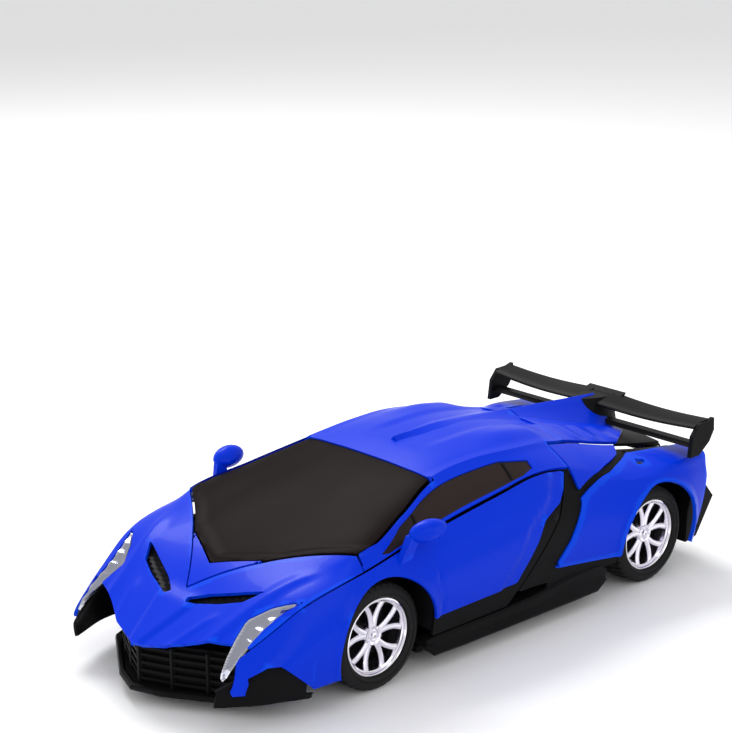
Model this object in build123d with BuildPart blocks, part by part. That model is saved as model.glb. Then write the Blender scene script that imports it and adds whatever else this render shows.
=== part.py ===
from build123d import *
import os

os.makedirs("parts", exist_ok=True)

# Transforming robot car. Millimetres, +Z up, nose towards -Y, the car's left side towards +X.
# The origin is on the floor under the middle of the car's length.

# ---- driving dimensions -------------------------------------------------------------------
wheelbase = 150.0          # between the axles
front_overhang = 73.0      # splitter tip to front axle
rear_overhang = 43.0       # rear bumper tip to rear axle
half_width = 57.0          # widest point of the fenders
roof_height = 71.0         # crown of the roof over the floor
skin_wall = 1.6            # moulded shells
panel_gap = 0.8            # open line between two shells
tyre_radius = 20.0
tyre_width = 16.0
tyre_inset = 4.6           # fender's widest point to the tyre's outer face
rim_radius = 14.8
arch_gap = 3.5             # tyre to wheel arch
axle_radius = 2.0
run_fit = 0.06             # radial clearance of a turning shaft
pin_radius = 2.0
tray_bottom = 5.0
tray_floor = 2.5
plate = 2.0                # inner walls and plates
frame_gap = 1.0            # tyre to the plate beside it
side_clear = 1.6           # arm plate to torso
arm_travel = 45.0
bar_size = 4.0
bar_slack = 0.4            # guide hole around an arm bar
head_width = 25.0
head_depth = 22.5
head_height = 27.0
cell_radius = 7.0
cell_gap = 0.8             # cell end to the box wall
gear_teeth = 20
gear_radius = 5.0
gear_width = 3.0

# ---- stations worked out from them --------------------------------------------------------
length = front_overhang + wheelbase + rear_overhang
front_axle_y = front_overhang - length / 2
rear_axle_y = front_axle_y + wheelbase
nose_tip_y = -length / 2
tail_tip_y = length / 2
arch_radius = tyre_radius + arch_gap
tyre_outer_x = half_width - tyre_inset
tyre_inner_x = tyre_outer_x - tyre_width
arm_plate_outer = tyre_inner_x - frame_gap
arm_plate_inner = arm_plate_outer - plate
torso_half = arm_plate_inner - side_clear
stand_y = rear_axle_y - 15.0      # hinge that the body stands up on
stand_z = 25.0
fold_y = front_axle_y             # hinge between body and nose
fold_z = 35.0
tail_y = rear_axle_y + 31.0       # hinge of the tail deck
tail_z = 43.5
deck_z = tray_bottom + tray_floor


def along(y):
    """A lengthwise place drawn for the 150 mm wheelbase, stretched between the axles."""
    if y <= -60.0:
        return front_axle_y + (y + 60.0)
    if y >= 90.0:
        return rear_axle_y + (y - 90.0)
    return front_axle_y + (y + 60.0) * wheelbase / 150.0


def out(x):
    """A half breadth drawn for 57 mm; the outer part moves with the side of the car."""
    return x + (half_width - 57.0) * min(1.0, x / 30.0)


def up(z):
    """A height drawn for a 71 mm roof; what is above the wheel arch follows the roof."""
    return z if z < 44.0 else 44.0 + (z - 44.0) * (roof_height - 44.0) / 27.0


# Lines plan of the skin: at each y the half section as sill, bulge, belt, rail, mid roof, crown.
stations = [
    (-126, [(43, 10), (44, 16), (40, 21.5), (27, 24), (14, 24.6), (0, 24)]),
    (-110, [(51, 9), (53, 22), (46, 31.5), (31, 34), (16, 34), (0, 33.5)]),
    (-93, [(54, 8.5), (56, 30), (50.5, 41.5), (37, 43.5), (19, 43.5), (0, 43.5)]),
    (-78, [(55, 9), (57, 34), (52, 45.5), (43, 48.3), (22, 50), (0, 50)]),
    (-66, [(55.3, 10), (57, 35.5), (51.8, 47.3), (47.5, 51.8), (24, 54), (0, 54.3)]),
    (-40, [(55.5, 14), (56.5, 38), (49.8, 51.5), (41.3, 58.8), (21, 61), (0, 61.5)]),
    (-18, [(55, 14), (56, 40), (48.6, 54.6), (34, 65), (18, 66.2), (0, 66.5)]),
    (5, [(54.7, 14), (55.5, 42), (47.6, 57.4), (33.5, 67.3), (18, 69.6), (0, 70)]),
    (26, [(54.5, 13), (55, 43), (46.4, 59.6), (35, 66.8), (18, 70), (0, 71)]),
    (45, [(54.2, 10), (54.5, 42), (45.5, 57.5), (33, 64.5), (17, 68), (0, 69)]),
    (60, [(54, 8), (55, 41), (46.5, 53), (31, 61.5), (16, 65), (0, 66)]),
    (85, [(55, 9), (57, 41), (51.5, 47.5), (30, 55), (15, 58.5), (0, 59.5)]),
    (108, [(55, 9), (56.5, 38), (52.5, 48.5), (31, 50.5), (15, 53), (0, 53.5)]),
    (124, [(52, 16), (53.5, 34), (50.5, 47.5), (31, 48), (15, 49.5), (0, 50)]),
]
CROWN = 5


def section(y):
    """The half section at y, blended between the two stations beside it."""
    for (y0, low), (y1, high) in zip(stations, stations[1:]):
        if y <= y1:
            break
    t = (y - y0) / (y1 - y0)
    return [(a[0] + (b[0] - a[0]) * t, a[1] + (b[1] - a[1]) * t) for a, b in zip(low, high)]


def skin(s, y, side=1):
    """The outer skin: s runs from 0 at the sill to 5 at the crown, y along the car."""
    points = section(y)
    i = min(int(s), CROWN - 1)
    x = points[i][0] + (points[i + 1][0] - points[i][0]) * (s - i)
    z = points[i][1] + (points[i + 1][1] - points[i][1]) * (s - i)
    return Vector(side * out(x), along(y), up(z))


def blend(table, s):
    """A boundary given at a few values of s, straight between them."""
    for (s0, y0), (s1, y1) in zip(table, table[1:]):
        if s <= s1:
            break
    return y0 + (y1 - y0) * (s - s0) / (s1 - s0)


def outward(s, y, side):
    """The skin's normal, rounded over its creases so that neighbouring shells meet in a mitre."""
    reach = 0.3
    below = skin(max(s - reach, 0), y, side)
    above = skin(s + reach, y, side) if s + reach < CROWN else skin(2 * CROWN - s - reach, y, -side)
    ahead, behind = skin(s, max(y - 2, -126), side), skin(s, min(y + 2, 124), side)
    return (behind - ahead).cross(above - below).normalized() * side


def shell_solid(places, keep, wall):
    """A closed wall on a grid of skin places (s, y, side); keep(s, y) tests a cell's middle."""
    rows, columns = len(places), len(places[0])
    grid = [[skin(*place) for place in line] for line in places]
    inner = [[skin(*place) - outward(*place) * wall for place in line] for line in places]
    faces = []

    def quad(a, b, c, d):
        faces.append(Face(Wire.make_polygon([a, c, b])))
        faces.append(Face(Wire.make_polygon([a, d, c])))

    def kept(i, j):
        if not (0 <= i < rows - 1 and 0 <= j < columns - 1):
            return False
        a, b = places[i][j], places[i + 1][j + 1]
        return keep((a[0] + b[0]) / 2, (a[1] + b[1]) / 2)

    for i in range(rows - 1):
        for j in range(columns - 1):
            if not kept(i, j):
                continue
            quad(grid[i][j], grid[i + 1][j], grid[i + 1][j + 1], grid[i][j + 1])
            quad(inner[i][j], inner[i][j + 1], inner[i + 1][j + 1], inner[i + 1][j])
            edges = [((i, j), (i + 1, j), kept(i, j - 1)), ((i + 1, j), (i + 1, j + 1), kept(i + 1, j)),
                     ((i + 1, j + 1), (i, j + 1), kept(i, j + 1)), ((i, j + 1), (i, j), kept(i - 1, j))]
            for (a, b), (c, d), joined in edges:
                if not joined:
                    quad(grid[a][b], inner[a][b], inner[c][d], grid[c][d])
    return Solid(Shell(faces))


def whole(levels):
    """Profile places over the crown: from the left belt to the right belt."""
    return [(s, 1) for s in levels] + [(s, -1) for s in reversed(levels[:-1])]


def one_side(levels, side):
    """Profile places on one side of the car, in the order that faces the skin outwards."""
    return [(s, side) for s in (levels if side > 0 else reversed(levels))]


def panel(rows, front, rear, steps, wall=skin_wall, keep=lambda s, y: True):
    """A shell whose front and rear edges are boundaries in s."""
    places = []
    for s, side in rows:
        y0, y1 = blend(front, s), blend(rear, s)
        places.append([(s, y0 + (y1 - y0) * j / steps, side) for j in range(steps + 1)])
    return shell_solid(places, keep, wall)


def save(part, name):
    part.label = name
    export_step(part, f"parts/{name}.step")


def side_name(side):
    return "left" if side > 0 else "right"


def straight(y):
    return [(0, y), (CROWN, y)]


# Boundaries on the skin.
cowl_line = [(0, -62), (2, -62), (3, -66), (4, -86), (5, -95)]
notch_line = [(0, -71), (2, -71), (3, -66 - panel_gap), (4, -86 - panel_gap), (5, -106)]
nose_split = -94.0
door_rear = [(0, 4), (1, 32), (2, 44), (5, 44)]
slash_rear = [(0, 33), (1, 47), (2, 57), (5, 57)]


def box(x0, x1, y0, y1, z0, z1, mode=Mode.ADD):
    """A block between two corners, in the part being built."""
    with Locations(((x0 + x1) / 2, (y0 + y1) / 2, (z0 + z1) / 2)):
        Box(abs(x1 - x0), abs(y1 - y0), abs(z1 - z0), mode=mode)


def rod(x0, x1, y, z, radius, mode=Mode.ADD):
    """A round bar along X."""
    with Locations(((x0 + x1) / 2, y, z)):
        Cylinder(radius, abs(x1 - x0), rotation=(0, 90, 0), mode=mode)


def side_slab(points, x0, x1, mode=Mode.ADD):
    """An outline in (y, z), as thick as x0 to x1."""
    with BuildSketch(Plane.YZ.offset(min(x0, x1))) as outline:
        with BuildLine():
            Polyline(*points, close=True)
        make_face()
    extrude(outline.sketch, amount=abs(x1 - x0), mode=mode)


def flat_slab(points, z0, z1, mode=Mode.ADD):
    """An outline in (x, y), as thick as z0 to z1."""
    with BuildSketch(Plane.XY.offset(z0)) as outline:
        with BuildLine():
            Polyline(*points, close=True)
        make_face()
    extrude(outline.sketch, amount=z1 - z0, mode=mode)


def wheel_arch(side, y):
    rod(side * (half_width - 22), side * (half_width + 5), y, tyre_radius, arch_radius, Mode.SUBTRACT)


# ---- base: what stays flat on the floor ---------------------------------------------------
tray_front = along(-40)
tray_rear = tail_tip_y - 17.2
boot_inner, boot_outer = 12.5, torso_half - 1.0
housing_y0, housing_y1 = rear_axle_y - 7.4, rear_axle_y + 22.0
boot_y0, boot_y1 = stand_y - 14.0, housing_y0 - 0.5
boot_top = 37.0
housing_half, housing_top = 25.0, 33.0
motor_y, motor_radius, motor_length = rear_axle_y + 12.5, 7.0, 18.0
gear_x = 20.0
switch_y, switch_travel = along(10), 3.0
screw_head, screw_shank = 2.6, 1.2
screw_recess, screw_head_height = 1.0, 0.8
switch_recess = 0.3
screw_places = [(side * x, y) for x, y in ((24, tray_front + 6), (24, stand_y - 20), (28.5, tray_rear - 6))
                for side in (1, -1)]
wide_tray = out(46)

with BuildPart() as chassis_tray:
    box(-arm_plate_inner, arm_plate_inner, tray_front, tray_rear, tray_bottom, deck_z)
    for side in (1, -1):
        box(side * (arm_plate_inner - 2), side * wide_tray, tray_front + 4, rear_axle_y - arch_radius - 3,
            tray_bottom, deck_z)
        box(side * (arm_plate_inner - plate), side * arm_plate_inner, tray_front, tray_rear, deck_z - 1,
            deck_z + 5)
        for x, y in screw_places:
            with Locations((x, y, deck_z + 2)):
                Cylinder(3.2, 6)
    box(-arm_plate_inner, arm_plate_inner, tray_front, tray_front + plate, deck_z - 1, deck_z + 1.2)
    for x, y in screw_places:
        with Locations((x, y, deck_z)):
            Cylinder(screw_shank, 20, mode=Mode.SUBTRACT)
        with Locations((x, y, tray_bottom)):
            Cylinder(screw_head + 0.2, 2 * screw_recess, mode=Mode.SUBTRACT)
    box(-2.5, 2.5, switch_y - 3 - switch_travel, switch_y + 3, 0, 20, Mode.SUBTRACT)
save(chassis_tray.part, "chassis_tray")

with BuildPart() as base_screws:
    for x, y in screw_places:
        with Locations((x, y, tray_bottom + screw_recess - screw_head_height / 2)):
            Cylinder(screw_head, screw_head_height)
        with Locations((x, y, tray_bottom + screw_recess + 3)):
            Cylinder(screw_shank, 6)
save(base_screws.part, "base_screws")

with BuildPart() as power_switch:
    box(-2, 2, switch_y - 2.5, switch_y + 2.5, tray_bottom + switch_recess, deck_z + 1)
    box(-3.5, 3.5, switch_y - 2.5, switch_y + 2.5, deck_z + 0.2, deck_z + 1.2)
save(power_switch.part, "power_switch")

skirt_top, skirt_bottom = 13.2, 5.5
for side in (1, -1):
    with BuildPart() as rear_fender:
        add(panel(one_side([0, 0.5, 1, 1.5, 2, 2.5, 2.9], side), slash_rear, straight(124), 16))
        wheel_arch(side, rear_axle_y)
        with BuildSketch(Plane.XZ.offset(10.0 - tail_tip_y)) as tail_wall:
            with BuildLine():
                Polyline((side * out(34), 34), (side * out(52.7), 34), (side * out(50.4), 45.8),
                         (side * out(34), 45.8), close=True)
            make_face()
        extrude(tail_wall.sketch, amount=skin_wall)
    save(rear_fender.part, f"rear_fender_{side_name(side)}")

    with BuildPart() as side_skirt:
        front = [(s, y + panel_gap) for s, y in door_rear]
        rear = [(s, y - panel_gap) for s, y in slash_rear]
        add(panel(one_side([0, 0.5, 1, 1.5, 1.95], side), front, rear, 3, skin_wall + 0.6))
        outline = [(along(-38), skirt_top), (along(-34), skirt_bottom), (rear_axle_y - arch_radius - 4, skirt_bottom),
                   (rear_axle_y - arch_radius - 2.5, 8.8), (along(30), skirt_top + 0.2), (along(2), skirt_top)]
        side_slab(outline, side * wide_tray, side * out(54.6))
        side_slab([(along(-30), 7.5), (along(60), 7.5), (along(60), skirt_top - 1.5), (along(-30), skirt_top - 1.5)],
                  side * (wide_tray - 1), side * (out(54.6) - 1.8), Mode.SUBTRACT)
        add(rear_fender.part, mode=Mode.SUBTRACT)
    save(side_skirt.part, f"side_skirt_{side_name(side)}")

    with BuildPart() as boot:
        box(side * boot_inner, side * boot_outer, boot_y0, boot_y1, deck_z, boot_top)
        chamfer(boot.edges().filter_by(Axis.Z).group_by(Axis.Y)[0], 2.5)
        for z in (14.0, 21.0, 28.0):
            box(side * boot_inner, side * boot_outer, boot_y0 - 1, boot_y0 + 0.7, z, z + 1.0, Mode.SUBTRACT)
        rod(side * boot_inner, side * boot_outer, stand_y, stand_z, pin_radius, Mode.SUBTRACT)
    save(boot.part, f"boot_{side_name(side)}")

with BuildPart() as stand_pin:
    rod(-boot_outer, boot_outer, stand_y, stand_z, pin_radius)
save(stand_pin.part, "stand_pin")

with BuildPart() as drive_housing:
    box(-housing_half, housing_half, housing_y0, housing_y1, deck_z, housing_top)
    fillet(drive_housing.edges().filter_by(Axis.X).group_by(Axis.Z)[-1], 2.5)
    box(-housing_half + plate, housing_half - plate, housing_y0 + 1.6, housing_y1 - plate, deck_z + plate,
        housing_top - plate, Mode.SUBTRACT)
    rod(-housing_half - 1, housing_half + 1, rear_axle_y, tyre_radius, axle_radius + run_fit, Mode.SUBTRACT)
save(drive_housing.part, "drive_housing")

with BuildPart() as drive_motors:
    for side in (1, -1):
        rod(side * 2, side * (2 + motor_length), motor_y, tyre_radius, motor_radius)
        rod(side * (2 + motor_length), side * (3.5 + motor_length), motor_y, tyre_radius, 2.6)
save(drive_motors.part, "drive_motors")

bumper_half = out(47)
tail_outline = [(-16.5, 9), (-9, 9), (0, 27), (-4, 32), (-7.6, 33), (-7.6, 41), (-8.6, 41), (-8.6, 12)]
with BuildPart() as rear_bumper:
    side_slab([(tail_tip_y + y, z) for y, z in tail_outline], -bumper_half, bumper_half)
    side_slab([(tail_tip_y + y, z) for y, z in [(-7, 12), (-3, 26), (-6, 30), (-9, 30), (-9, 12)]],
              -bumper_half + 9, bumper_half - 9, Mode.SUBTRACT)
    for x in (-24, -12, 0, 12, 24):
        side_slab([(tail_tip_y + y, z) for y, z in [(-8.6, 10), (-7.5, 10), (-1.5, 26), (-5, 31), (-8.6, 31)]],
                  x - 1, x + 1)
save(rear_bumper.part, "rear_bumper")

with BuildPart() as tail_lights:
    for side in (1, -1):
        box(side * 22, side * (bumper_half - 3), tail_tip_y - 7.6, tail_tip_y - 6.0, 35.5, 40.6)
        box(side * 28, side * (bumper_half - 8), tail_tip_y - 6.0, tail_tip_y - 5.4, 37, 39.5)
save(tail_lights.part, "tail_lights")

# ---- rear wheels --------------------------------------------------------------------------
spoke_count = 5


def make_tyre(side, y):
    with BuildPart() as tyre:
        rod(side * tyre_inner_x, side * tyre_outer_x, y, tyre_radius, tyre_radius)
        chamfer(tyre.edges().filter_by(GeomType.CIRCLE), 1.4)
        rod(side * (tyre_inner_x - 1), side * (tyre_outer_x + 1), y, tyre_radius, rim_radius, Mode.SUBTRACT)
    return tyre.part


def make_rim(side, y, bore):
    face_x = tyre_outer_x - 2.0
    with BuildPart() as rim:
        rod(side * (tyre_inner_x + 1), side * face_x, y, tyre_radius, rim_radius)
        rod(side * (tyre_inner_x + 4), side * (face_x + 1), y, tyre_radius, rim_radius - 1.8, Mode.SUBTRACT)
        rod(side * (tyre_inner_x + 0.5), side * (face_x - 2), y, tyre_radius, 4.2)
        with Locations(Location((side * (face_x - 3), y, tyre_radius), (0, 90, 0))):
            with PolarLocations(0, spoke_count):
                Box(3.6, rim_radius - 1.0, 3.0, align=(Align.CENTER, Align.MIN, Align.CENTER))
        rod(side * (tyre_inner_x - 1), side * (face_x - 5), y, tyre_radius, bore, Mode.SUBTRACT)
    return rim.part


for side in (1, -1):
    save(make_tyre(side, rear_axle_y), f"rear_tyre_{side_name(side)}")
    save(make_rim(side, rear_axle_y, axle_radius), f"rear_rim_{side_name(side)}")
    with BuildPart() as shaft:
        rod(side * 3, side * (tyre_outer_x - 7.0), rear_axle_y, tyre_radius, axle_radius)
        with Locations(Location((side * gear_x, rear_axle_y, tyre_radius), (0, 90, 0))):
            Cylinder(gear_radius - 0.8, gear_width)
            with PolarLocations(gear_radius - 0.7, gear_teeth):
                Box(1.4, 0.8, gear_width)
    save(shaft.part, f"rear_shaft_{side_name(side)}")

# ---- tail deck, which tips back to let the roof pass --------------------------------------
wing_y0, wing_y1 = tail_tip_y - 26.0, tail_tip_y - 10.5
wing_half = out(57)
fin_tip_z = up(64.0)
deck_front, deck_rear = 60.6, 121.4


def fin(y0, y1, crown0, crown1):
    """The ridge along the roof: a wedge between two stations, nearly level on top."""
    width0, width1 = 5.0 + (y0 + 10) * 0.06, 5.0 + (y1 + 10) * 0.06
    ends = []
    for y, width, crown in ((y0, width0, crown0), (y1, width1, crown1)):
        low = skin(CROWN, y).Z - skin_wall
        with BuildSketch(Plane.XZ.offset(-along(y))) as outline:
            with BuildLine():
                Polyline((-width, low), (width, low), (0.8, crown), (-0.8, crown), close=True)
            make_face()
        ends.append(outline.sketch)
    loft(ends, ruled=True)


def raised(outline):
    """An outline of (y, z) whose heights follow the roof."""
    return [(y, up(z)) for y, z in outline]


with BuildPart() as rear_deck:
    add(panel(whole([3.06, 3.5, 4, 4.5, 5]), straight(deck_front), straight(deck_rear), 10))
    fin(deck_front, 113, up(68.1), fin_tip_z)
    for side in (1, -1):
        box(side * 20, side * 24, tail_y - 7, tail_y - 1, tail_z - 2, up(49.2))
        rod(side * 20, side * 24, tail_y, tail_z, 3.0)
        rod(side * 19, side * 25, tail_y, tail_z, pin_radius, Mode.SUBTRACT)
save(rear_deck.part, "rear_deck")

with BuildPart() as tail_pin:
    rod(-29, 29, tail_y, tail_z, pin_radius)
save(tail_pin.part, "tail_pin")

with BuildPart() as tail_bracket:
    for side in (1, -1):
        box(side * 25, side * 28, tail_y - 3.5, tail_tip_y - 8.8, 36, tail_z)
        rod(side * 25, side * 28, tail_y, tail_z, 3.4)
        rod(side * 24, side * 29, tail_y, tail_z, pin_radius + run_fit, Mode.SUBTRACT)
save(tail_bracket.part, "tail_bracket")

with BuildPart() as wing:
    blade = [(wing_y0 + 3, 60.2), (wing_y0 + 5, 61.6), (wing_y1 - 3, 63.2), (wing_y1, 64.5), (wing_y1 - 1, 62),
             (wing_y0 + 8, 60)]
    for side in (1, -1):
        side_slab(raised(blade), side * 5.5, side * (wing_half - 2))
        plate_outline = [(wing_y0, 49.5), (wing_y0 + 6, 49.5), (wing_y1, 59), (wing_y1, 64.5),
                         (wing_y0 + 5, 63), (wing_y0 + 1, 57)]
        side_slab(raised(plate_outline), side * (wing_half - 2.2), side * wing_half)
        lower_rail = [(wing_y0 + 2, 53.2), (wing_y0 + 6, 53.2), (wing_y0 + 9, 54.8), (wing_y0 + 4, 54.8)]
        side_slab(raised(lower_rail), side * 5.5, side * (wing_half - 2))
    post = [(wing_y0 - 4, 54.4), (wing_y1 - 2, 51.2), (wing_y1 - 1, 62.5), (wing_y0 + 4, 63.5)]
    side_slab(raised(post), -6, 6)
    add(rear_deck.part, mode=Mode.SUBTRACT)
save(wing.part, "wing")

# ---- body: stands up on the boots ---------------------------------------------------------
roof_rear_side, roof_rear_mid = 46.0, 60.0
window_front, window_rear = -54.0, 27.0
window_low, window_high = 2.12, 2.8
roof_front = -18.0
frame_top = 37.0
torso_y0, torso_y1 = fold_y + 38.0, stand_y - 17.7


def roof_cell(s, y):
    """Which cells of the greenhouse are blue shell: roof, pillars and sills, not the glass."""
    if s > 3.0:
        return y > roof_front
    if y > roof_rear_side:
        return False
    if s > window_high or s < window_low:
        return True
    return y < window_front or y > window_rear


roof_ys = [-62, window_front, -42, -30, roof_front, -5, 8, 20, window_rear, 36, roof_rear_side, 53, roof_rear_mid]
roof_levels = [2.05, window_low, window_high, 3.0, 4.0, 4.5, 5.0]
post_places = [(side * out(26), y) for y in (-15, 13) for side in (-1, 1)]

with BuildPart() as roof_shell:
    add(shell_solid([[(s, y, side) for y in roof_ys] for s, side in whole(roof_levels)], roof_cell, skin_wall))
    fin(2, roof_rear_mid, up(71.5), up(68.2))
    for x, y in post_places:
        top = skin(3.5, y).Z - skin_wall / 2
        with Locations((x, along(y), (frame_top + top) / 2)):
            Cylinder(2.4, top - frame_top)
save(roof_shell.part, "roof_shell")

with BuildPart() as windshield:
    edge = [(s, y + 0.6) for s, y in cowl_line]
    add(panel(whole([3.04, 3.5, 4, 4.5, 5]), edge, straight(roof_front - 0.3), 8))
save(windshield.part, "windshield")

with BuildPart() as side_windows:
    for side in (1, -1):
        add(panel(one_side([window_low + 0.02, 2.45, window_high - 0.02], side), straight(window_front + 0.5),
                  straight(window_rear - 0.5), 8, 1.2))
save(side_windows.part, "side_windows")

with BuildPart() as hood_panel:
    edge = [(s, y + panel_gap) for s, y in notch_line]
    back = [(s, y + 0.5) for s, y in cowl_line]
    add(panel(whole([4.08, 4.5, 5]), edge, back, 4))
save(hood_panel.part, "hood_panel")

plate_z0 = 23.5
channel_x = torso_half - 3.0
box_y0, box_y1 = along(59) - 41.0, along(59) - 5.0
box_z0, box_z1 = 40.0, 59.0
spine_inner, spine_outer = 15.0, 20.5
lug_inner, lug_outer = 8.0, 11.8

with BuildPart() as torso_frame:
    box(-channel_x, channel_x, torso_y0, torso_y1, 34.5, frame_top)
    box(-channel_x + 4, channel_x - 4, torso_y0, along(20), plate_z0, 35)
    box(-channel_x + 7, channel_x - 7, torso_y0 + 2, along(18), plate_z0 + 2, 33, Mode.SUBTRACT)
    for side in (1, -1):
        box(side * (channel_x - plate), side * channel_x, along(24), torso_y1, 31, 52)
        box(side * spine_inner, side * spine_outer, fold_y, torso_y0 + 3, fold_z - 4, fold_z + 2)
        rod(side * spine_inner, side * spine_outer, fold_y, fold_z, 4.2)
        rod(side * (spine_inner - 1), side * (spine_outer + 1), fold_y, fold_z, pin_radius, Mode.SUBTRACT)
        lug = [(torso_y1 - 12, 29), (torso_y1 - 1, 22), (stand_y - 4, stand_z - 4.5), (stand_y, stand_z - 5),
               (stand_y + 4, stand_z + 3), (stand_y - 2, stand_z + 5.5), (torso_y1 - 1, 36), (torso_y1 - 12, 36)]
        side_slab(lug, side * lug_inner, side * lug_outer)
        rod(side * (lug_inner - 1), side * (lug_outer + 1), stand_y, stand_z, pin_radius + run_fit,
            Mode.SUBTRACT)
save(torso_frame.part, "torso_frame")

with BuildPart() as fold_pin:
    rod(-27, 27, fold_y, fold_z, pin_radius)
save(fold_pin.part, "fold_pin")

chest_y0, chest_y1 = torso_y0 + 2, along(16)
chest_z = 13.5
with BuildPart() as chest_plate:
    wings = [(-30, chest_y0 + 3), (-25, chest_y0), (25, chest_y0), (30, chest_y0 + 3), (22, chest_y0 + 14),
             (9, chest_y1 - 4), (7, chest_y1), (-7, chest_y1), (-9, chest_y1 - 4), (-22, chest_y0 + 14)]
    flat_slab(wings, chest_z, plate_z0)
    for side in (1, -1):
        flat_slab([(side * 31, chest_y0 - 1), (side * 8, chest_y1 + 1), (side * 31, chest_y1 + 1)], chest_z - 1,
                  chest_z + 4, Mode.SUBTRACT)
    flat_slab([(-13, chest_y0 - 1), (13, chest_y0 - 1), (13, chest_y0 + 8), (0, chest_y0 + 20.5),
               (-13, chest_y0 + 8)], chest_z - 1, plate_z0 - 3, Mode.SUBTRACT)
save(chest_plate.part, "chest_plate")

with BuildPart() as chest_insert:
    with BuildSketch(Plane.XY.offset(plate_z0 - 3)):
        with BuildLine():
            Polyline((-12.7, chest_y0), (12.7, chest_y0), (12.7, chest_y0 + 7.8), (0, chest_y0 + 20),
                     (-12.7, chest_y0 + 7.8), close=True)
        make_face()
    with BuildSketch(Plane.XY.offset(chest_z - 2.5)):
        with BuildLine():
            Polyline((-5, chest_y0 + 2), (5, chest_y0 + 2), (5, chest_y0 + 6), (0, chest_y0 + 15),
                     (-5, chest_y0 + 6), close=True)
        make_face()
    loft(ruled=True)
save(chest_insert.part, "chest_insert")

waist_y0, waist_y1 = along(59) - 40.0, along(59) - 9.0
waist_front = 12.5
hip_length = 18.0
with BuildPart() as waist_armour:
    plan = [(-29, waist_y0), (-12, waist_y0 + 6), (-7, waist_y0 + 1.5), (7, waist_y0 + 1.5), (12, waist_y0 + 6),
            (29, waist_y0), (29, waist_y0 + 13), (9, waist_y1), (7, waist_y1 - 6), (-7, waist_y1 - 6),
            (-9, waist_y1), (-29, waist_y0 + 13)]
    flat_slab(plan, waist_front, plate_z0)
    for side in (1, -1):
        side_slab([(waist_y0 - 1, waist_front - 1), (waist_y0 - 1, waist_front + 5), (waist_y0 + 13, waist_front - 1)],
                  side * 9, side * 31, Mode.SUBTRACT)
    box(-13.5, 13.5, waist_y0 + 8, waist_y1 + 1, 20, plate_z0 + 1, Mode.SUBTRACT)
save(waist_armour.part, "waist_armour")

with BuildPart() as hip_plate:
    hip_y0 = waist_y1 - 5.6
    flat_slab([(-6.3, hip_y0), (6.3, hip_y0), (7.4, hip_y0 + 8), (5, hip_y0 + hip_length - 4),
               (-5, hip_y0 + hip_length - 4), (-7.4, hip_y0 + 8)], waist_front, 20)
    chamfer(hip_plate.edges().group_by(Axis.Z)[0], 1.4)
    box(-3.5, 3.5, hip_y0 + 2, hip_y0 + 11, 19.5, 34.5)
save(hip_plate.part, "hip_plate")

thigh_y1 = stand_y - 18.8
thigh_y0 = thigh_y1 - 18.0
with BuildPart() as thighs:
    for side in (1, -1):
        flat_slab([(side * 13, thigh_y0), (side * 22, thigh_y0), (side * 28, thigh_y1), (side * 16, thigh_y1)],
                  14.5, 30)
        for step in range(5):
            y = thigh_y0 + 3 + 3.4 * step
            box(side * 12, side * 29, y, y + 0.9, 13.5, 15.6, Mode.SUBTRACT)
        box(side * 14, side * 20, thigh_y0 + 2, thigh_y0 + 8, 29.5, 34.5)
    add(waist_armour.part, mode=Mode.SUBTRACT)
save(thighs.part, "thighs")

with BuildPart() as battery_box:
    box(-channel_x + plate, channel_x - plate, box_y0, box_y1, box_z0, box_z1)
    fillet(battery_box.edges().filter_by(Axis.Y).group_by(Axis.Z)[-1], 3)
    box(-channel_x + 4, channel_x - 4, box_y0 + 1.6, box_y1 - 1.6, box_z0 - 1, box_z1 - 1.6, Mode.SUBTRACT)
save(battery_box.part, "battery_box")

with BuildPart() as battery_cover:
    box(-channel_x + plate + 1, channel_x - plate - 1, box_y0 + 1, box_y1 - 1, frame_top, box_z0)
    for i in range(4):
        box(-18, 18, box_y0 + 8 + 5 * i, box_y0 + 10 + 5 * i, box_z0 - 0.8, box_z0 + 1, Mode.SUBTRACT)
save(battery_cover.part, "battery_cover")

with BuildPart() as battery_cells:
    for i in range(2):
        rod(cell_gap + 4 - channel_x, channel_x - 4 - cell_gap, box_y0 + 2.4 + cell_radius + i * (2 * cell_radius + 0.8),
            box_z0 + 1 + cell_radius, cell_radius)
save(battery_cells.part, "battery_cells")

with BuildPart() as circuit_board:
    box(-23, 23, torso_y0 + 1, along(16), frame_top, frame_top + 1.6)
    box(-9, 3, torso_y0 + 5, torso_y0 + 13, frame_top + 1, frame_top + 3.2)
    for i in range(3):
        with Locations((16, torso_y0 + 8 + 7 * i, frame_top + 4)):
            Cylinder(2.4, 6)
save(circuit_board.part, "circuit_board")

with BuildPart() as transform_motor:
    with Locations((-4, along(4), frame_top + 8.6)):
        Cylinder(7, 20, rotation=(0, 90, 0))
    box(6, 12, along(4) - 9, along(4) + 8, frame_top + 1.6, frame_top + 17)
save(transform_motor.part, "transform_motor")

with BuildPart() as speaker:
    with Locations((0, fold_y + 28, 41)):
        Cylinder(8, 5)
        Cylinder(3, 7)
    box(-3, 3, fold_y + 33, torso_y0, 38.5, 40)
    box(-3, 3, torso_y0 - 2, torso_y0, 35, 40)
save(speaker.part, "speaker")

# ---- nose: stays level on top of the standing body ----------------------------------------
with BuildPart() as hood:
    add(panel(whole([2.0, 2.5, 3, 3.5, 4, 4.5, 5]), straight(-126), notch_line, 8))
    for side in (1, -1):
        vent = [(side * 17, along(-104)), (side * 30, along(-91)), (side * 31, along(-95)), (side * 21, along(-107))]
        flat_slab(vent, 30, 60, Mode.SUBTRACT)
save(hood.part, "hood")

lamp_low, lamp_high = 1.4, 1.95
lamp_front, lamp_rear = -123.0, -98.0


def bumper_cell(s, y):
    return not (lamp_low < s < lamp_high and lamp_front < y < lamp_rear)


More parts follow.
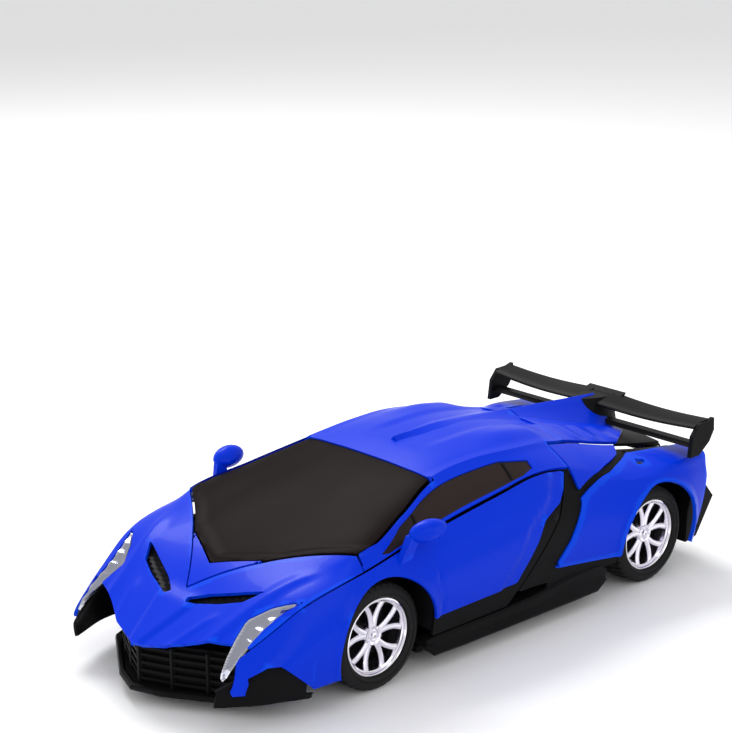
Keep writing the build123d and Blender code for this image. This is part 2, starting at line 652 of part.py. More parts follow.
bumper_ys = [-126, lamp_front, -116, -110, -104, lamp_rear, nose_split - panel_gap]
bumper_levels = [0, 0.5, 1, lamp_low, lamp_high, 1.98]
front_y = along(-126)
with BuildPart() as front_bumper:
    for side in (1, -1):
        places = [[(s, y, half) for y in bumper_ys] for s, half in one_side(bumper_levels, side)]
        add(shell_solid(places, bumper_cell, skin_wall))
        with BuildSketch(Plane.XZ.offset(-front_y - 1.5)) as corner:
            with BuildLine():
                Polyline((side * out(42.6), 9.8), (side * out(43.6), 16), (side * out(41), 19.4),
                         (side * out(31), 19.4), (side * out(36), 14), (side * out(30), 9.8), close=True)
            make_face()
        extrude(corner.sketch, amount=3.1)
    box(-out(43), out(43), front_y - 1.6, front_y, 11.5, 13)
save(front_bumper.part, "front_bumper")

with BuildPart() as headlights:
    for side in (1, -1):
        add(panel(one_side([lamp_low + 0.02, 1.65, lamp_high - 0.03], side), straight(lamp_front + 0.5),
                  straight(lamp_rear - 0.5), 6))
save(headlights.part, "headlights")

splitter_z = 5.0
with BuildPart() as splitter:
    tip = nose_tip_y
    plan = [(0, tip), (out(33), tip + 5), (out(45), tip + 16), (out(53), tip + 22), (out(54), tip + 38),
            (out(48), tip + 38), (out(40), tip + 26), (0, tip + 26)]
    flat_slab(plan, splitter_z, splitter_z + 2.4)
    flat_slab([(-x, y) for x, y in plan], splitter_z, splitter_z + 2.4)
    for side in (1, -1):
        canard = [(tip + 17, splitter_z + 2), (tip + 31, splitter_z + 2), (tip + 31, 8), (tip + 24, 13),
                  (tip + 17, 9)]
        side_slab(canard, side * out(43.5), side * out(45.5))
save(splitter.part, "splitter")

with BuildPart() as grille:
    box(-out(41), out(41), front_y + 1, front_y + 2.6, 7.6, 19.8)
    for z in (9.0, 14.5, 17.5):
        box(-out(41), out(41), front_y, front_y + 1.2, z, z + 1.2)
    box(-1, 1, front_y - 1.4, front_y + 1.2, 13.2, 20)
    add(front_bumper.part, mode=Mode.SUBTRACT)
save(grille.part, "grille")

bar_y = along(-91.0)
bar_levels = {1: (34.0, 22.0), -1: (28.0, 16.0)}
guide_inner, guide_outer = 14.5, 27.5
ear_inner, ear_outer = 21.0, 26.0
with BuildPart() as nose_frame:
    for side in (1, -1):
        box(side * guide_inner, side * guide_outer, bar_y - 5, bar_y + 4, 8, 37.5)
        side_slab([(bar_y - 2, 9), (fold_y - 3, 20), (fold_y + 4.5, 33), (fold_y + 2, 38.5), (fold_y - 4, 38.5),
                   (bar_y, 37.5)], side * ear_inner, side * ear_outer)
        rod(side * (ear_inner - 1), side * (ear_outer + 1), fold_y, fold_z, pin_radius + run_fit, Mode.SUBTRACT)
        for levels in bar_levels.values():
            for z in levels:
                half = bar_size / 2 + bar_slack
                box(0, side * 40, bar_y - half, bar_y + half, z - half, z + half, Mode.SUBTRACT)
    box(-guide_outer, guide_outer, bar_y - 8, bar_y - 4.5, 8, 37)
    box(-18, 18, bar_y - 16, bar_y - 7.5, splitter_z + 2.4, 14)
save(nose_frame.part, "nose_frame")

# ---- head, which lifts out of the nose ----------------------------------------------------
head_y0 = bar_y + 3.6
head_z0 = 13.0
with BuildPart() as helmet:
    with BuildSketch(Plane.XY.offset(head_z0)):
        with Locations((0, head_y0 + head_depth / 2)):
            RectangleRounded(head_width - 6, head_depth - 5, 4)
    with BuildSketch(Plane.XY.offset(head_z0 + head_height * 0.55)):
        with Locations((0, head_y0 + head_depth / 2)):
            RectangleRounded(head_width, head_depth - 1.5, 6)
    with BuildSketch(Plane.XY.offset(head_z0 + head_height)):
        with Locations((0, head_y0 + head_depth / 2 + 2)):
            RectangleRounded(head_width - 14, head_depth - 13, 4)
    loft()
    box(-8.5, 8.5, head_y0 - 1, head_y0 + 6, head_z0 - 1, head_z0 + 16, Mode.SUBTRACT)
    with Locations((0, head_y0 + head_depth / 2 + 1, head_z0 - 2)):
        Cylinder(5, 5)
save(helmet.part, "helmet")

with BuildPart() as face_plate:
    with BuildSketch(Plane.XY.offset(head_z0)):
        with BuildLine():
            Polyline((-5.5, head_y0 + 6), (-5.5, head_y0 + 3), (0, head_y0 + 1), (5.5, head_y0 + 3),
                     (5.5, head_y0 + 6), close=True)
        make_face()
    with BuildSketch(Plane.XY.offset(head_z0 + 11)):
        with BuildLine():
            Polyline((-8.2, head_y0 + 6), (-8.2, head_y0 + 3), (0, head_y0 + 0.4), (8.2, head_y0 + 3),
                     (8.2, head_y0 + 6), close=True)
        make_face()
    loft(ruled=True)
save(face_plate.part, "face_plate")

with BuildPart() as visor:
    flat_slab([(-8.3, head_y0 + 6), (-8.3, head_y0 + 3.4), (0, head_y0 + 1.2), (8.3, head_y0 + 3.4),
               (8.3, head_y0 + 6)], head_z0 + 11, head_z0 + 15.8)
save(visor.part, "visor")

# ---- arms: front fender, door and mirror, with the front wheel ----------------------------
mirror_tip = out(62.5)
for side in (1, -1):
    with BuildPart() as arm_skin:
        add(panel(one_side([0, 0.5, 1, 1.5, 1.97], side), straight(nose_split), door_rear, 20))
        wheel_arch(side, front_axle_y)
        box(0, side * 60, along(-36), along(20), 0, skirt_top + 1.0, Mode.SUBTRACT)
        stalk = [(along(-56), up(46.5)), (along(-50), up(46.5)), (along(-45), up(57)), (along(-49), up(57))]
        side_slab(stalk, side * out(50.7), side * out(53.2))
        flat_slab([(side * out(50), along(-50)), (side * mirror_tip, along(-45)), (side * mirror_tip, along(-39)),
                   (side * out(50), along(-42))], up(55), up(60.5))
    save(arm_skin.part, f"arm_skin_{side_name(side)}")

    with BuildPart() as arm_frame:
        z_top = 38.0
        plate_rear, rear_top = along(-2), 18.5
        side_slab([(bar_y - 2, 14), (plate_rear, 14), (plate_rear, rear_top), (front_axle_y + 40, 28.5),
                   (front_axle_y + 25, z_top), (bar_y - 2, z_top)], side * arm_plate_inner, side * arm_plate_outer)
        box(side * arm_plate_inner, side * out(53.6), bar_y - 2, bar_y, 14, 31)
        box(side * arm_plate_inner, side * out(55.1), front_axle_y + arch_radius + 1, front_axle_y + arch_radius + 3,
            16, z_top)
        box(side * arm_plate_inner, side * out(54.4), plate_rear - 2, plate_rear, 14.6, rear_top)
        for z in (16.0, 24.0):
            box(side * arm_plate_inner, side * (arm_plate_outer + 1.0), front_axle_y + arch_radius,
                front_axle_y + arch_radius + 14, z, z + 2)
        rod(side * arm_plate_inner, side * (tyre_outer_x - 8), front_axle_y, tyre_radius, axle_radius)
        rod(side * arm_plate_inner, side * (arm_plate_outer + 0.6), front_axle_y, tyre_radius, 5)
        for z in bar_levels[side]:
            half = bar_size / 2
            box(side * -26, side * arm_plate_outer, bar_y - half, bar_y + half, z - half, z + half)
        add(arm_skin.part, mode=Mode.SUBTRACT)
    save(arm_frame.part, f"arm_frame_{side_name(side)}")

    save(make_tyre(side, front_axle_y), f"front_tyre_{side_name(side)}")
    save(make_rim(side, front_axle_y, axle_radius + run_fit), f"front_rim_{side_name(side)}")
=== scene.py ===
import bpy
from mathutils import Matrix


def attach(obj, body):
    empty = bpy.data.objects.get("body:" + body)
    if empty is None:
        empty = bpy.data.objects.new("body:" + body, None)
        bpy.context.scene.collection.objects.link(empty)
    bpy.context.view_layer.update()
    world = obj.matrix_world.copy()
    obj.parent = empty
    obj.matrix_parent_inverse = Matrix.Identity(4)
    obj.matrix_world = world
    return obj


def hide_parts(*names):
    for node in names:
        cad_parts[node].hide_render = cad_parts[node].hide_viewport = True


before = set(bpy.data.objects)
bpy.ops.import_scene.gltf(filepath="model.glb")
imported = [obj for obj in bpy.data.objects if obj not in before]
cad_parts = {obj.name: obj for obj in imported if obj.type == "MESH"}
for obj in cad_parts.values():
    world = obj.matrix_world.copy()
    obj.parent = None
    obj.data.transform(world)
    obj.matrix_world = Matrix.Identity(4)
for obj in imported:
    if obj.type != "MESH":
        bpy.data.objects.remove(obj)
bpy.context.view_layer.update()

import math

import bpy
import numpy as np
from mathutils import Vector

# Lengths are written in millimetres and become metres when a mesh is made.
mm = 0.001
scene = bpy.context.scene

# camera, floor and light
cameraView = dict(place=(0.5155, -0.4956, 0.3015), azimuth=47.22, elevation=15.93, lens=95.67)
studio = dict(
    world=0.78,
    floor=(0.93, 0.93, 0.94),
    lights=[
        # name, place, aim, size, watts
        ("keyLight", (-0.75, 0.25, 0.95), (0.0, 0.0, 0.0), (0.6, 0.45), 9.5),
        ("noseLight", (-0.2, -0.95, 0.6), (0.0, -0.05, 0.03), (0.9, 0.35), 1.4),
        ("sideLight", (1.0, -0.1, 0.55), (0.0, 0.0, 0.03), (1.1, 0.35), 1.7),
        ("topLight", (0.1, 0.1, 1.1), (0.0, 0.0, 0.0), (0.9, 0.25), 0.9),
    ],
)


def addCamera(view):
    # the back of the camera points along (sin a cos e, -cos a cos e, sin e)
    a, e = math.radians(view["azimuth"]), math.radians(view["elevation"])
    back = Vector((math.sin(a) * math.cos(e), -math.cos(a) * math.cos(e), math.sin(e)))
    data = bpy.data.cameras.new("camera")
    data.lens, data.sensor_width, data.clip_start = view["lens"], 36.0, 0.01
    camera = bpy.data.objects.new("camera", data)
    camera.location = view["place"]
    camera.rotation_euler = back.to_track_quat("Z", "Y").to_euler()
    scene.collection.objects.link(camera)
    scene.camera = camera


def addLight(name, place, aim, size, watts):
    data = bpy.data.lights.new(name, "AREA")
    data.shape, data.size, data.size_y, data.energy = "RECTANGLE", size[0], size[1], watts
    light = bpy.data.objects.new(name, data)
    light.location = place
    light.rotation_euler = (Vector(place) - Vector(aim)).to_track_quat("Z", "Y").to_euler()
    scene.collection.objects.link(light)


def addStudio(spec):
    world = bpy.data.worlds.new("studio")
    world.use_nodes = True
    world.node_tree.nodes["Background"].inputs["Color"].default_value = (1.0, 1.0, 1.0, 1.0)
    world.node_tree.nodes["Background"].inputs["Strength"].default_value = spec["world"]
    scene.world = world
    scene.view_settings.view_transform = "Standard"
    for light in spec["lights"]:
        addLight(*light)
    corners = np.array([(-1, -1, 0), (1, -1, 0), (1, 1, 0), (-1, 1, 0)]) * 4.0
    mesh = bpy.data.meshes.new("floor")
    mesh.from_pydata(corners.tolist(), [], [(0, 1, 2, 3)])
    floor = bpy.data.objects.new("floor", mesh)
    scene.collection.objects.link(floor)
    paper = bpy.data.materials.new("paperFloor")
    paper.use_nodes = True
    shader = paper.node_tree.nodes["Principled BSDF"]
    shader.inputs["Base Color"].default_value = (*spec["floor"], 1.0)
    shader.inputs["Roughness"].default_value = 0.9
    shader.inputs["Specular IOR Level"].default_value = 0.1
    mesh.materials.append(paper)


addCamera(cameraView)
addStudio(studio)
print("camera, floor and lights")


# shader node groups, each built once
def newGroup(name, inputs, outputs):
    group = bpy.data.node_groups.new(name, "ShaderNodeTree")
    for label, kind, value in inputs:
        group.interface.new_socket(name=label, in_out="INPUT", socket_type=kind).default_value = value
    for label, kind in outputs:
        group.interface.new_socket(name=label, in_out="OUTPUT", socket_type=kind)
    tree = group.nodes
    return group, tree.new("NodeGroupInput"), tree.new("NodeGroupOutput")


def addNode(tree, kind, settings=(), values=(), wires=()):
    # a node with its settings, socket values and incoming wires
    node = tree.nodes.new(kind)
    for key, value in dict(settings).items():
        setattr(node, key, value)
    for key, value in dict(values).items():
        node.inputs[key].default_value = value
    for key, source in dict(wires).items():
        tree.links.new(source, node.inputs[key])
    return node


def grainGroup():
    # two noises in Object coordinates: fine grain for the bump, broad cloud for the gloss
    group, given, result = newGroup(
        "mouldGrain",
        [("Grain Scale", "NodeSocketFloat", 2500.0), ("Roughness", "NodeSocketFloat", 0.3),
         ("Gloss Spread", "NodeSocketFloat", 0.06)],
        [("Roughness", "NodeSocketFloat"), ("Height", "NodeSocketFloat")])
    place = addNode(group, "ShaderNodeTexCoord")
    fine = addNode(group, "ShaderNodeTexNoise", values={"Detail": 3.0},
                   wires={"Vector": place.outputs["Object"], "Scale": given.outputs["Grain Scale"]})
    broad = addNode(group, "ShaderNodeTexNoise", values={"Scale": 55.0, "Detail": 4.0},
                    wires={"Vector": place.outputs["Object"]})
    centred = addNode(group, "ShaderNodeMath", {"operation": "SUBTRACT"}, {1: 0.5},
                      {0: broad.outputs["Fac"]})
    spread = addNode(group, "ShaderNodeMath", {"operation": "MULTIPLY_ADD"},
                     wires={0: centred.outputs[0], 1: given.outputs["Gloss Spread"],
                            2: given.outputs["Roughness"]})
    group.links.new(spread.outputs[0], result.inputs["Roughness"])
    group.links.new(fine.outputs["Fac"], result.inputs["Height"])
    return group


def edgeHighlightAndDustGroup():
    # painted highlight: paler where the surface turns sharply; and a thin film of dust on what faces up
    group, given, result = newGroup(
        "paintedEdgeHighlightAndDust",
        [("Color", "NodeSocketColor", (0.5, 0.5, 0.5, 1.0)),
         ("Edge Highlight Color", "NodeSocketColor", (0.8, 0.8, 0.8, 1.0)), ("Edge Highlight Amount", "NodeSocketFloat", 0.3),
         ("Dust Amount", "NodeSocketFloat", 0.04)],
        [("Color", "NodeSocketColor")])
    surface = addNode(group, "ShaderNodeNewGeometry")
    place = addNode(group, "ShaderNodeTexCoord")
    # painted highlight mask: the sharp edges, found from the pointiness
    edge = addNode(group, "ShaderNodeMapRange", values={"From Min": 0.53, "From Max": 0.62},
                   wires={"Value": surface.outputs["Pointiness"]})
    edgeHighlightMask = addNode(group, "ShaderNodeMath", {"operation": "MULTIPLY"},
                       wires={0: edge.outputs["Result"], 1: given.outputs["Edge Highlight Amount"]})
    lifted = addNode(group, "ShaderNodeMix", {"data_type": "RGBA"},
                     wires={0: edgeHighlightMask.outputs[0], 6: given.outputs["Color"],
                            7: given.outputs["Edge Highlight Color"]})
    upward = addNode(group, "ShaderNodeSeparateXYZ", wires={0: surface.outputs["Normal"]})
    cloud = addNode(group, "ShaderNodeTexNoise", values={"Scale": 90.0, "Detail": 5.0, "Roughness": 0.65},
                    wires={"Vector": place.outputs["Object"]})
    settled = addNode(group, "ShaderNodeMapRange", values={"From Min": 0.2, "From Max": 1.0},
                      wires={"Value": upward.outputs["Z"]})
    film = addNode(group, "ShaderNodeMath", {"operation": "MULTIPLY"},
                   wires={0: settled.outputs["Result"], 1: cloud.outputs["Fac"]})
    filmMask = addNode(group, "ShaderNodeMath", {"operation": "MULTIPLY"},
                       wires={0: film.outputs[0], 1: given.outputs["Dust Amount"]})
    dusty = addNode(group, "ShaderNodeMix", {"data_type": "RGBA"}, {7: (0.62, 0.62, 0.64, 1.0)},
                    {0: filmMask.outputs[0], 6: lifted.outputs[2]})
    group.links.new(dusty.outputs[2], result.inputs["Color"])
    return group


mouldGrain, paintedEdgeHighlightAndDust = grainGroup(), edgeHighlightAndDustGroup()


def finish(name, colour, roughness, edgeHighlightColour=None, edge=0.3, dust=0.04, grain=2500.0, depth=0.05,
           spread=0.06, shader=()):
    # colour gets a painted highlight on sharp edges and a film of dust, gloss goes through the grain, and the
    # grain also lifts the surface
    material = bpy.data.materials.new(name)
    material.use_nodes = True
    tree = material.node_tree
    principled = tree.nodes["Principled BSDF"]
    # the painted edge-highlight colour: the one given, or the colour made paler
    lighter = edgeHighlightColour or tuple(min(1.0, c * 1.6 + 0.03) for c in colour)
    highlightAndDust = addNode(tree, "ShaderNodeGroup", {"node_tree": paintedEdgeHighlightAndDust},
                   {"Color": (*colour, 1.0), "Edge Highlight Color": (*lighter, 1.0), "Edge Highlight Amount": edge,
                    "Dust Amount": dust})
    moulded = addNode(tree, "ShaderNodeGroup", {"node_tree": mouldGrain},
                      {"Grain Scale": grain, "Roughness": roughness, "Gloss Spread": spread})
    bump = addNode(tree, "ShaderNodeBump", values={"Strength": depth, "Distance": 0.0002},
                   wires={"Height": moulded.outputs["Height"]})
    tree.links.new(highlightAndDust.outputs["Color"], principled.inputs["Base Color"])
    tree.links.new(moulded.outputs["Roughness"], principled.inputs["Roughness"])
    tree.links.new(bump.outputs["Normal"], principled.inputs["Normal"])
    for key, value in dict(shader).items():
        principled.inputs[key].default_value = value
    return material


# each finish: name, colour, roughness, painted edge-highlight colour and its amount, dust, grain scale, bump
# depth
finishes = dict(
    blueShell=finish("blueShell", (0.0, 0.03, 0.62), 0.3, (0.0, 0.09, 0.85), 0.4, 0.0, 1500.0, 0.04,
                     shader={"Coat Weight": 0.04, "Coat Roughness": 0.06, "Specular IOR Level": 0.06}),
    blackMoulding=finish("blackMoulding", (0.0045, 0.0045, 0.005), 0.42, (0.03, 0.03, 0.033), 0.3, 0.003,
                         3200.0, 0.16, shader={"Specular IOR Level": 0.05}),
    blackFrame=finish("blackFrame", (0.006, 0.006, 0.007), 0.5, (0.03, 0.03, 0.035), 0.3, 0.004, 2600.0,
                      0.2, shader={"Specular IOR Level": 0.05}),
    smokedGlazing=finish("smokedGlazing", (0.008, 0.005, 0.0045), 0.34, (0.03, 0.02, 0.018), 0.25, 0.0,
                         900.0, 0.02, shader={"Specular IOR Level": 0.01}),
    windowGlazing=finish("windowGlazing", (0.022, 0.014, 0.013), 0.3, (0.06, 0.04, 0.035), 0.3, 0.004,
                         900.0, 0.03, spread=0.12, shader={"Specular IOR Level": 0.08}),
    silverPaint=finish("silverPaint", (0.68, 0.69, 0.74), 0.3, (0.95, 0.95, 1.0), 0.5, 0.03, 6500.0, 0.18,
                       shader={"Metallic": 0.55, "Coat Weight": 0.3}),
    chromePlate=finish("chromePlate", (0.9, 0.87, 0.95), 0.1, (1.0, 1.0, 1.0), 0.4, 0.02, 1800.0, 0.02,
                       shader={"Metallic": 1.0}),
    lampFoil=finish("lampFoil", (0.34, 0.35, 0.42), 0.14, (0.95, 0.95, 1.0), 0.6, 0.0, 1800.0, 0.03,
                    shader={"Metallic": 1.0}),
    tyreRubber=finish("tyreRubber", (0.008, 0.008, 0.0085), 0.7, (0.035, 0.035, 0.035), 0.35, 0.01, 4200.0,
                      0.35, shader={"Specular IOR Level": 0.2}),
    pinSteel=finish("pinSteel", (0.55, 0.55, 0.57), 0.25, (0.85, 0.85, 0.87), 0.4, 0.02, 3000.0, 0.08,
                    shader={"Metallic": 1.0}),
    redLens=finish("redLens", (0.5, 0.006, 0.008), 0.12, (0.9, 0.08, 0.06), 0.3, 0.02, 900.0, 0.03,
                   shader={"Coat Weight": 0.8}),
    magentaLens=finish("magentaLens", (0.75, 0.01, 0.4), 0.14, (1.0, 0.3, 0.7), 0.3, 0.0, 900.0, 0.03,
                       shader={"Coat Weight": 0.8, "Emission Color": (0.9, 0.02, 0.5, 1.0),
                               "Emission Strength": 0.35}),
    boardGreen=finish("boardGreen", (0.01, 0.14, 0.04), 0.4, (0.1, 0.35, 0.15), 0.3, 0.05, 1800.0, 0.15),
    cellSleeve=finish("cellSleeve", (0.03, 0.10, 0.42), 0.3, (0.2, 0.3, 0.7), 0.3, 0.04, 1500.0, 0.06),
    screenBlack=finish("screenBlack", (0.02, 0.02, 0.024), 0.22, (0.1, 0.1, 0.1), 0.3, 0.02, 1500.0, 0.05),
)
print("finishes:", len(finishes))


# meshes
def volumeOf(points, faces):
    # sum of the signed tetrahedra from the origin to each face's fan of triangles
    total = 0.0
    for size in (3, 4):
        ring = np.array([f for f in faces if len(f) == size], dtype=int).reshape(-1, size)
        for k in range(1, size - 1):
            a, b, c = points[ring[:, 0]], points[ring[:, k]], points[ring[:, k + 1]]
            total += float(np.einsum("ij,ij->", a, np.cross(b, c))) / 6.0
    return total


def addPiece(name, points, faces, material, body, replaces=(), slot=None, sharp=32.0, bevel=0.0):
    # a mesh from the points of a closed solid in mm, turned so that its faces point outwards
    faces = [list(f) for f in faces]
    if volumeOf(points, faces) < 0.0:
        faces = [f[::-1] for f in faces]
    mesh = bpy.data.meshes.new(name)
    mesh.from_pydata((np.asarray(points) * mm).tolist(), [], faces)
    mesh.validate()
    mesh.shade_smooth()
    mesh.set_sharp_from_angle(angle=math.radians(sharp))
    mesh.materials.append(finishes[material])
    piece = bpy.data.objects.new(name, mesh)
    scene.collection.objects.link(piece)
    if bevel:
        rounding = piece.modifiers.new("rounded edges", "BEVEL")
        rounding.width, rounding.segments, rounding.limit_method = bevel * mm, 2, "ANGLE"
        rounding.angle_limit, rounding.harden_normals = math.radians(50.0), False
    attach(piece, body)
    if replaces:
        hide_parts(*replaces)
    return piece


def gridFaces(rows, columns, closed=False):
    # quads between neighbouring places of a grid; the columns join round where it is closed
    index = np.arange(rows * columns).reshape(rows, columns)
    if closed:
        index = np.concatenate([index, index[:, :1]], 1)
    corners = [index[:-1, :-1], index[1:, :-1], index[1:, 1:], index[:-1, 1:]]
    return np.stack(corners, -1).reshape(-1, 4).tolist()


def tubeOf(rings):
    # a closed solid through rings of points, with a fan of triangles over each end
    rings = np.asarray(rings, float)
    n, m = rings.shape[:2]
    points = np.concatenate([rings.reshape(-1, 3), rings[0].mean(0)[None], rings[-1].mean(0)[None]])
    ring = np.arange(m)
    first = np.stack([ring, np.roll(ring, -1), np.full(m, n * m)], 1)
    last = np.stack([np.roll(ring, -1) + (n - 1) * m, ring + (n - 1) * m, np.full(m, n * m + 1)], 1)
    return points, gridFaces(n, m, True) + first.tolist() + last.tolist()


def joined(*solids):
    # several closed solids as one mesh, each turned outwards first
    points, faces, start = [], [], 0
    for p, f in solids:
        f = [list(q) for q in f]
        if volumeOf(p, f) < 0.0:
            f = [q[::-1] for q in f]
        points.append(np.asarray(p, float))
        faces += [[v + start for v in q] for q in f]
        start += len(p)
    return np.concatenate(points), faces


def prism(outline, low, high, axis):
    # a flat outline as thick as low to high along x, y or z
    flat = np.asarray(outline, float)
    order = {"x": (2, 0, 1), "y": (0, 2, 1), "z": (0, 1, 2)}[axis]
    rings = [np.column_stack([flat, np.full(len(flat), level)])[:, order] for level in (low, high)]
    return tubeOf(rings)


def mirrored(solid):
    # the same solid on the other side of the car
    points, faces = solid
    return np.asarray(points) * (-1, 1, 1), [list(f)[::-1] for f in faces]


# the lines plan of the car's skin: at each y the half section as sill, bulge, belt, rail, mid roof and crown
bodyLines = dict(
    y=[-126, -110, -93, -78, -66, -40, -18, 5, 26, 45, 60, 85, 108, 124],
    sections=[
        [(43, 10), (44, 16), (40, 21.5), (27, 24), (14, 24.6), (0, 24)],
        [(51, 9), (53, 22), (46, 31.5), (31, 34), (16, 34), (0, 33.5)],
        [(54, 8.5), (56, 30), (50.5, 41.5), (37, 43.5), (19, 43.5), (0, 43.5)],
        [(55, 9), (57, 34), (52, 45.5), (43, 48.3), (22, 50), (0, 50)],
        [(55.3, 10), (57, 35.5), (51.8, 47.3), (47.5, 51.8), (24, 54), (0, 54.3)],
        [(55.5, 14), (56.5, 38), (49.8, 51.5), (41.3, 58.8), (21, 61), (0, 61.5)],
        [(55, 14), (56, 40), (48.6, 54.6), (34, 65), (18, 66.2), (0, 66.5)],
        [(54.7, 14), (55.5, 42), (47.6, 57.4), (33.5, 67.3), (18, 69.6), (0, 70)],
        [(54.5, 13), (55, 43), (46.4, 59.6), (35, 66.8), (18, 70), (0, 71)],
        [(54.2, 10), (54.5, 42), (45.5, 57.5), (33, 64.5), (17, 68), (0, 69)],
        [(54, 8), (55, 41), (46.5, 53), (31, 61.5), (16, 65), (0, 66)],
        [(55, 9), (57, 41), (51.5, 47.5), (30, 55), (15, 58.5), (0, 59.5)],
        [(55, 9), (56.5, 38), (52.5, 48.5), (31, 50.5), (15, 53), (0, 53.5)],
        [(52, 16), (53.5, 34), (50.5, 47.5), (31, 48), (15, 49.5), (0, 50)],
    ],
    crease=[1.0, 0.15, 0.8, 0.75, 0.1, 0.0],   # how sharply each line breaks the section
    crown=0.10,                                # how far each facet swells, as a share of its breadth
    spans=[29, 12, 14, 17, 17],                # rough breadth of each facet
)
lineY = np.array(bodyLines["y"], float)
lineXZ = np.array(bodyLines["sections"], float)
frontAxleY, rearAxleY, axleZ = -60.0, 90.0, 20.0


def curveThrough(x, knots, values):
    # a cubic through the knots with the slope of the parabola through each three; straight on past the ends
    h = np.diff(knots)
    d = np.diff(values, axis=0) / h[:, None]
    m = np.empty_like(values)
    m[1:-1] = (d[:-1] * h[1:, None] + d[1:] * h[:-1, None]) / (h[1:] + h[:-1])[:, None]
    m[0], m[-1] = d[0], d[-1]
    k = np.clip(np.searchsorted(knots, x) - 1, 0, len(knots) - 2)
    t, g = ((x - knots[k]) / h[k])[..., None], h[k][..., None]
    inside = ((1 + 2 * t) * (1 - t) ** 2 * values[k] + t * (1 - t) ** 2 * g * m[k]
              + t * t * (3 - 2 * t) * values[k + 1] + t * t * (t - 1) * g * m[k + 1])
    ahead = values[0] + (x - knots[0])[..., None] * m[0]
    behind = values[-1] + (x - knots[-1])[..., None] * m[-1]
    return np.where(t < 0, ahead, np.where(t > 1, behind, inside))


def skinPlace(q, y):
    # q runs from -5 at the right sill over 0 at the crown to 5 at the left sill, and s = 5 - |q| counts lines.
    # Between two lines the section is a cubic, whose ends lean to the next facet where the line is soft.
    q, y = np.broadcast_arrays(np.asarray(q, float), np.asarray(y, float))
    shape = q.shape
    s, y = 5.0 - np.abs(q.ravel()), y.ravel()
    xs = curveThrough(y, lineY, lineXZ[:, :, 0])
    zs = curveThrough(y, lineY, lineXZ[:, :, 1])
    line = np.stack([xs, zs], -1)
    before = np.concatenate([2 * line[:, :1] - line[:, 1:2], line[:, :-1]], 1)
    beyond = line[:, 4:5] * (-1, 1)
    after = np.concatenate([line[:, 1:], beyond], 1)
    k = np.clip(np.floor(s).astype(int), 0, 4)
    n = np.arange(len(s))
    t = (s - k)[:, None]
    crease = np.array(bodyLines["crease"])[:, None]
    low, high = line[n, k], line[n, k + 1]
    chord = high - low
    breadth = np.linalg.norm(chord, axis=1, keepdims=True)

    def lean(point, previous, following):
        a, b = point - previous, following - point
        la, lb = np.linalg.norm(a, axis=1, keepdims=True), np.linalg.norm(b, axis=1, keepdims=True)
        return (a / la * lb + b / lb * la) / (la + lb) * breadth

    swell = np.stack([chord[:, 1], -chord[:, 0]], 1) * bodyLines["crown"]
    m0 = (1 - crease[k]) * lean(low, before[n, k], high) + crease[k] * (chord + swell)
    m1 = (1 - crease[k + 1]) * lean(high, low, after[n, k + 1]) + crease[k + 1] * (chord - swell)
    flat = ((1 + 2 * t) * (1 - t) ** 2 * low + t * (1 - t) ** 2 * m0 + t * t * (3 - 2 * t) * high
            + t * t * (t - 1) * m1)
    side = np.where(q.ravel() < 0, -1.0, 1.0)
    return np.stack([side * flat[:, 0], y, flat[:, 1]], -1).reshape(*shape, 3)


def skinNormal(q, y):
    # across the section times along the car, which points outwards on both sides
    reach = 0.06
    across = skinPlace(np.clip(q + reach, -5, 5), y) - skinPlace(np.clip(q - reach, -5, 5), y)
    along = skinPlace(q, y + 0.8) - skinPlace(q, y - 0.8)
    n = np.cross(across, along)
    return n / np.linalg.norm(n, axis=-1, keepdims=True)


def lineLevels(low, high, cell):
    # values of s from low to high, about a cell apart on the surface, with every line of the plan among them
    marks = [low] + [k for k in range(1, 5) if low < k < high] + [high]
    parts = []
    for a, b in zip(marks, marks[1:]):
        steps = max(2, math.ceil((b - a) * bodyLines["spans"][min(int(a + 1e-6), 4)] / cell))
        parts.append(np.linspace(a, b, steps + 1)[:-1])
    return np.concatenate(parts + [[high]])


def edgeAt(table, s):
    # a boundary given at a few values, straight between them
    table = np.array(table, float)
    return np.interp(s, table[:, 0], table[:, 1])


def outsideOf(corners, a, b):
    # how far outside a convex outline a place is, negative within it
    p = np.array(corners, float)
    d = np.roll(p, -1, 0) - p
    if np.sum(p[:, 0] * np.roll(p[:, 1], -1) - np.roll(p[:, 0], -1) * p[:, 1]) < 0:
        d = -d
    n = np.stack([d[:, 1], -d[:, 0]], 1) / np.linalg.norm(d, axis=1)[:, None]
    return ((a[..., None] - p[:, 0]) * n[:, 0] + (b[..., None] - p[:, 1]) * n[:, 1]).max(-1)


def step(value, width):
    # 0 below nought, 1 above the width, smooth between
    t = np.clip(value / width, 0, 1)
    return t * t * (3 - 2 * t)


def ridge(value, width):
    # 1 on the line, falling to 0 at the width on both sides
    return np.clip(1 - np.abs(value) / width, 0, 1)


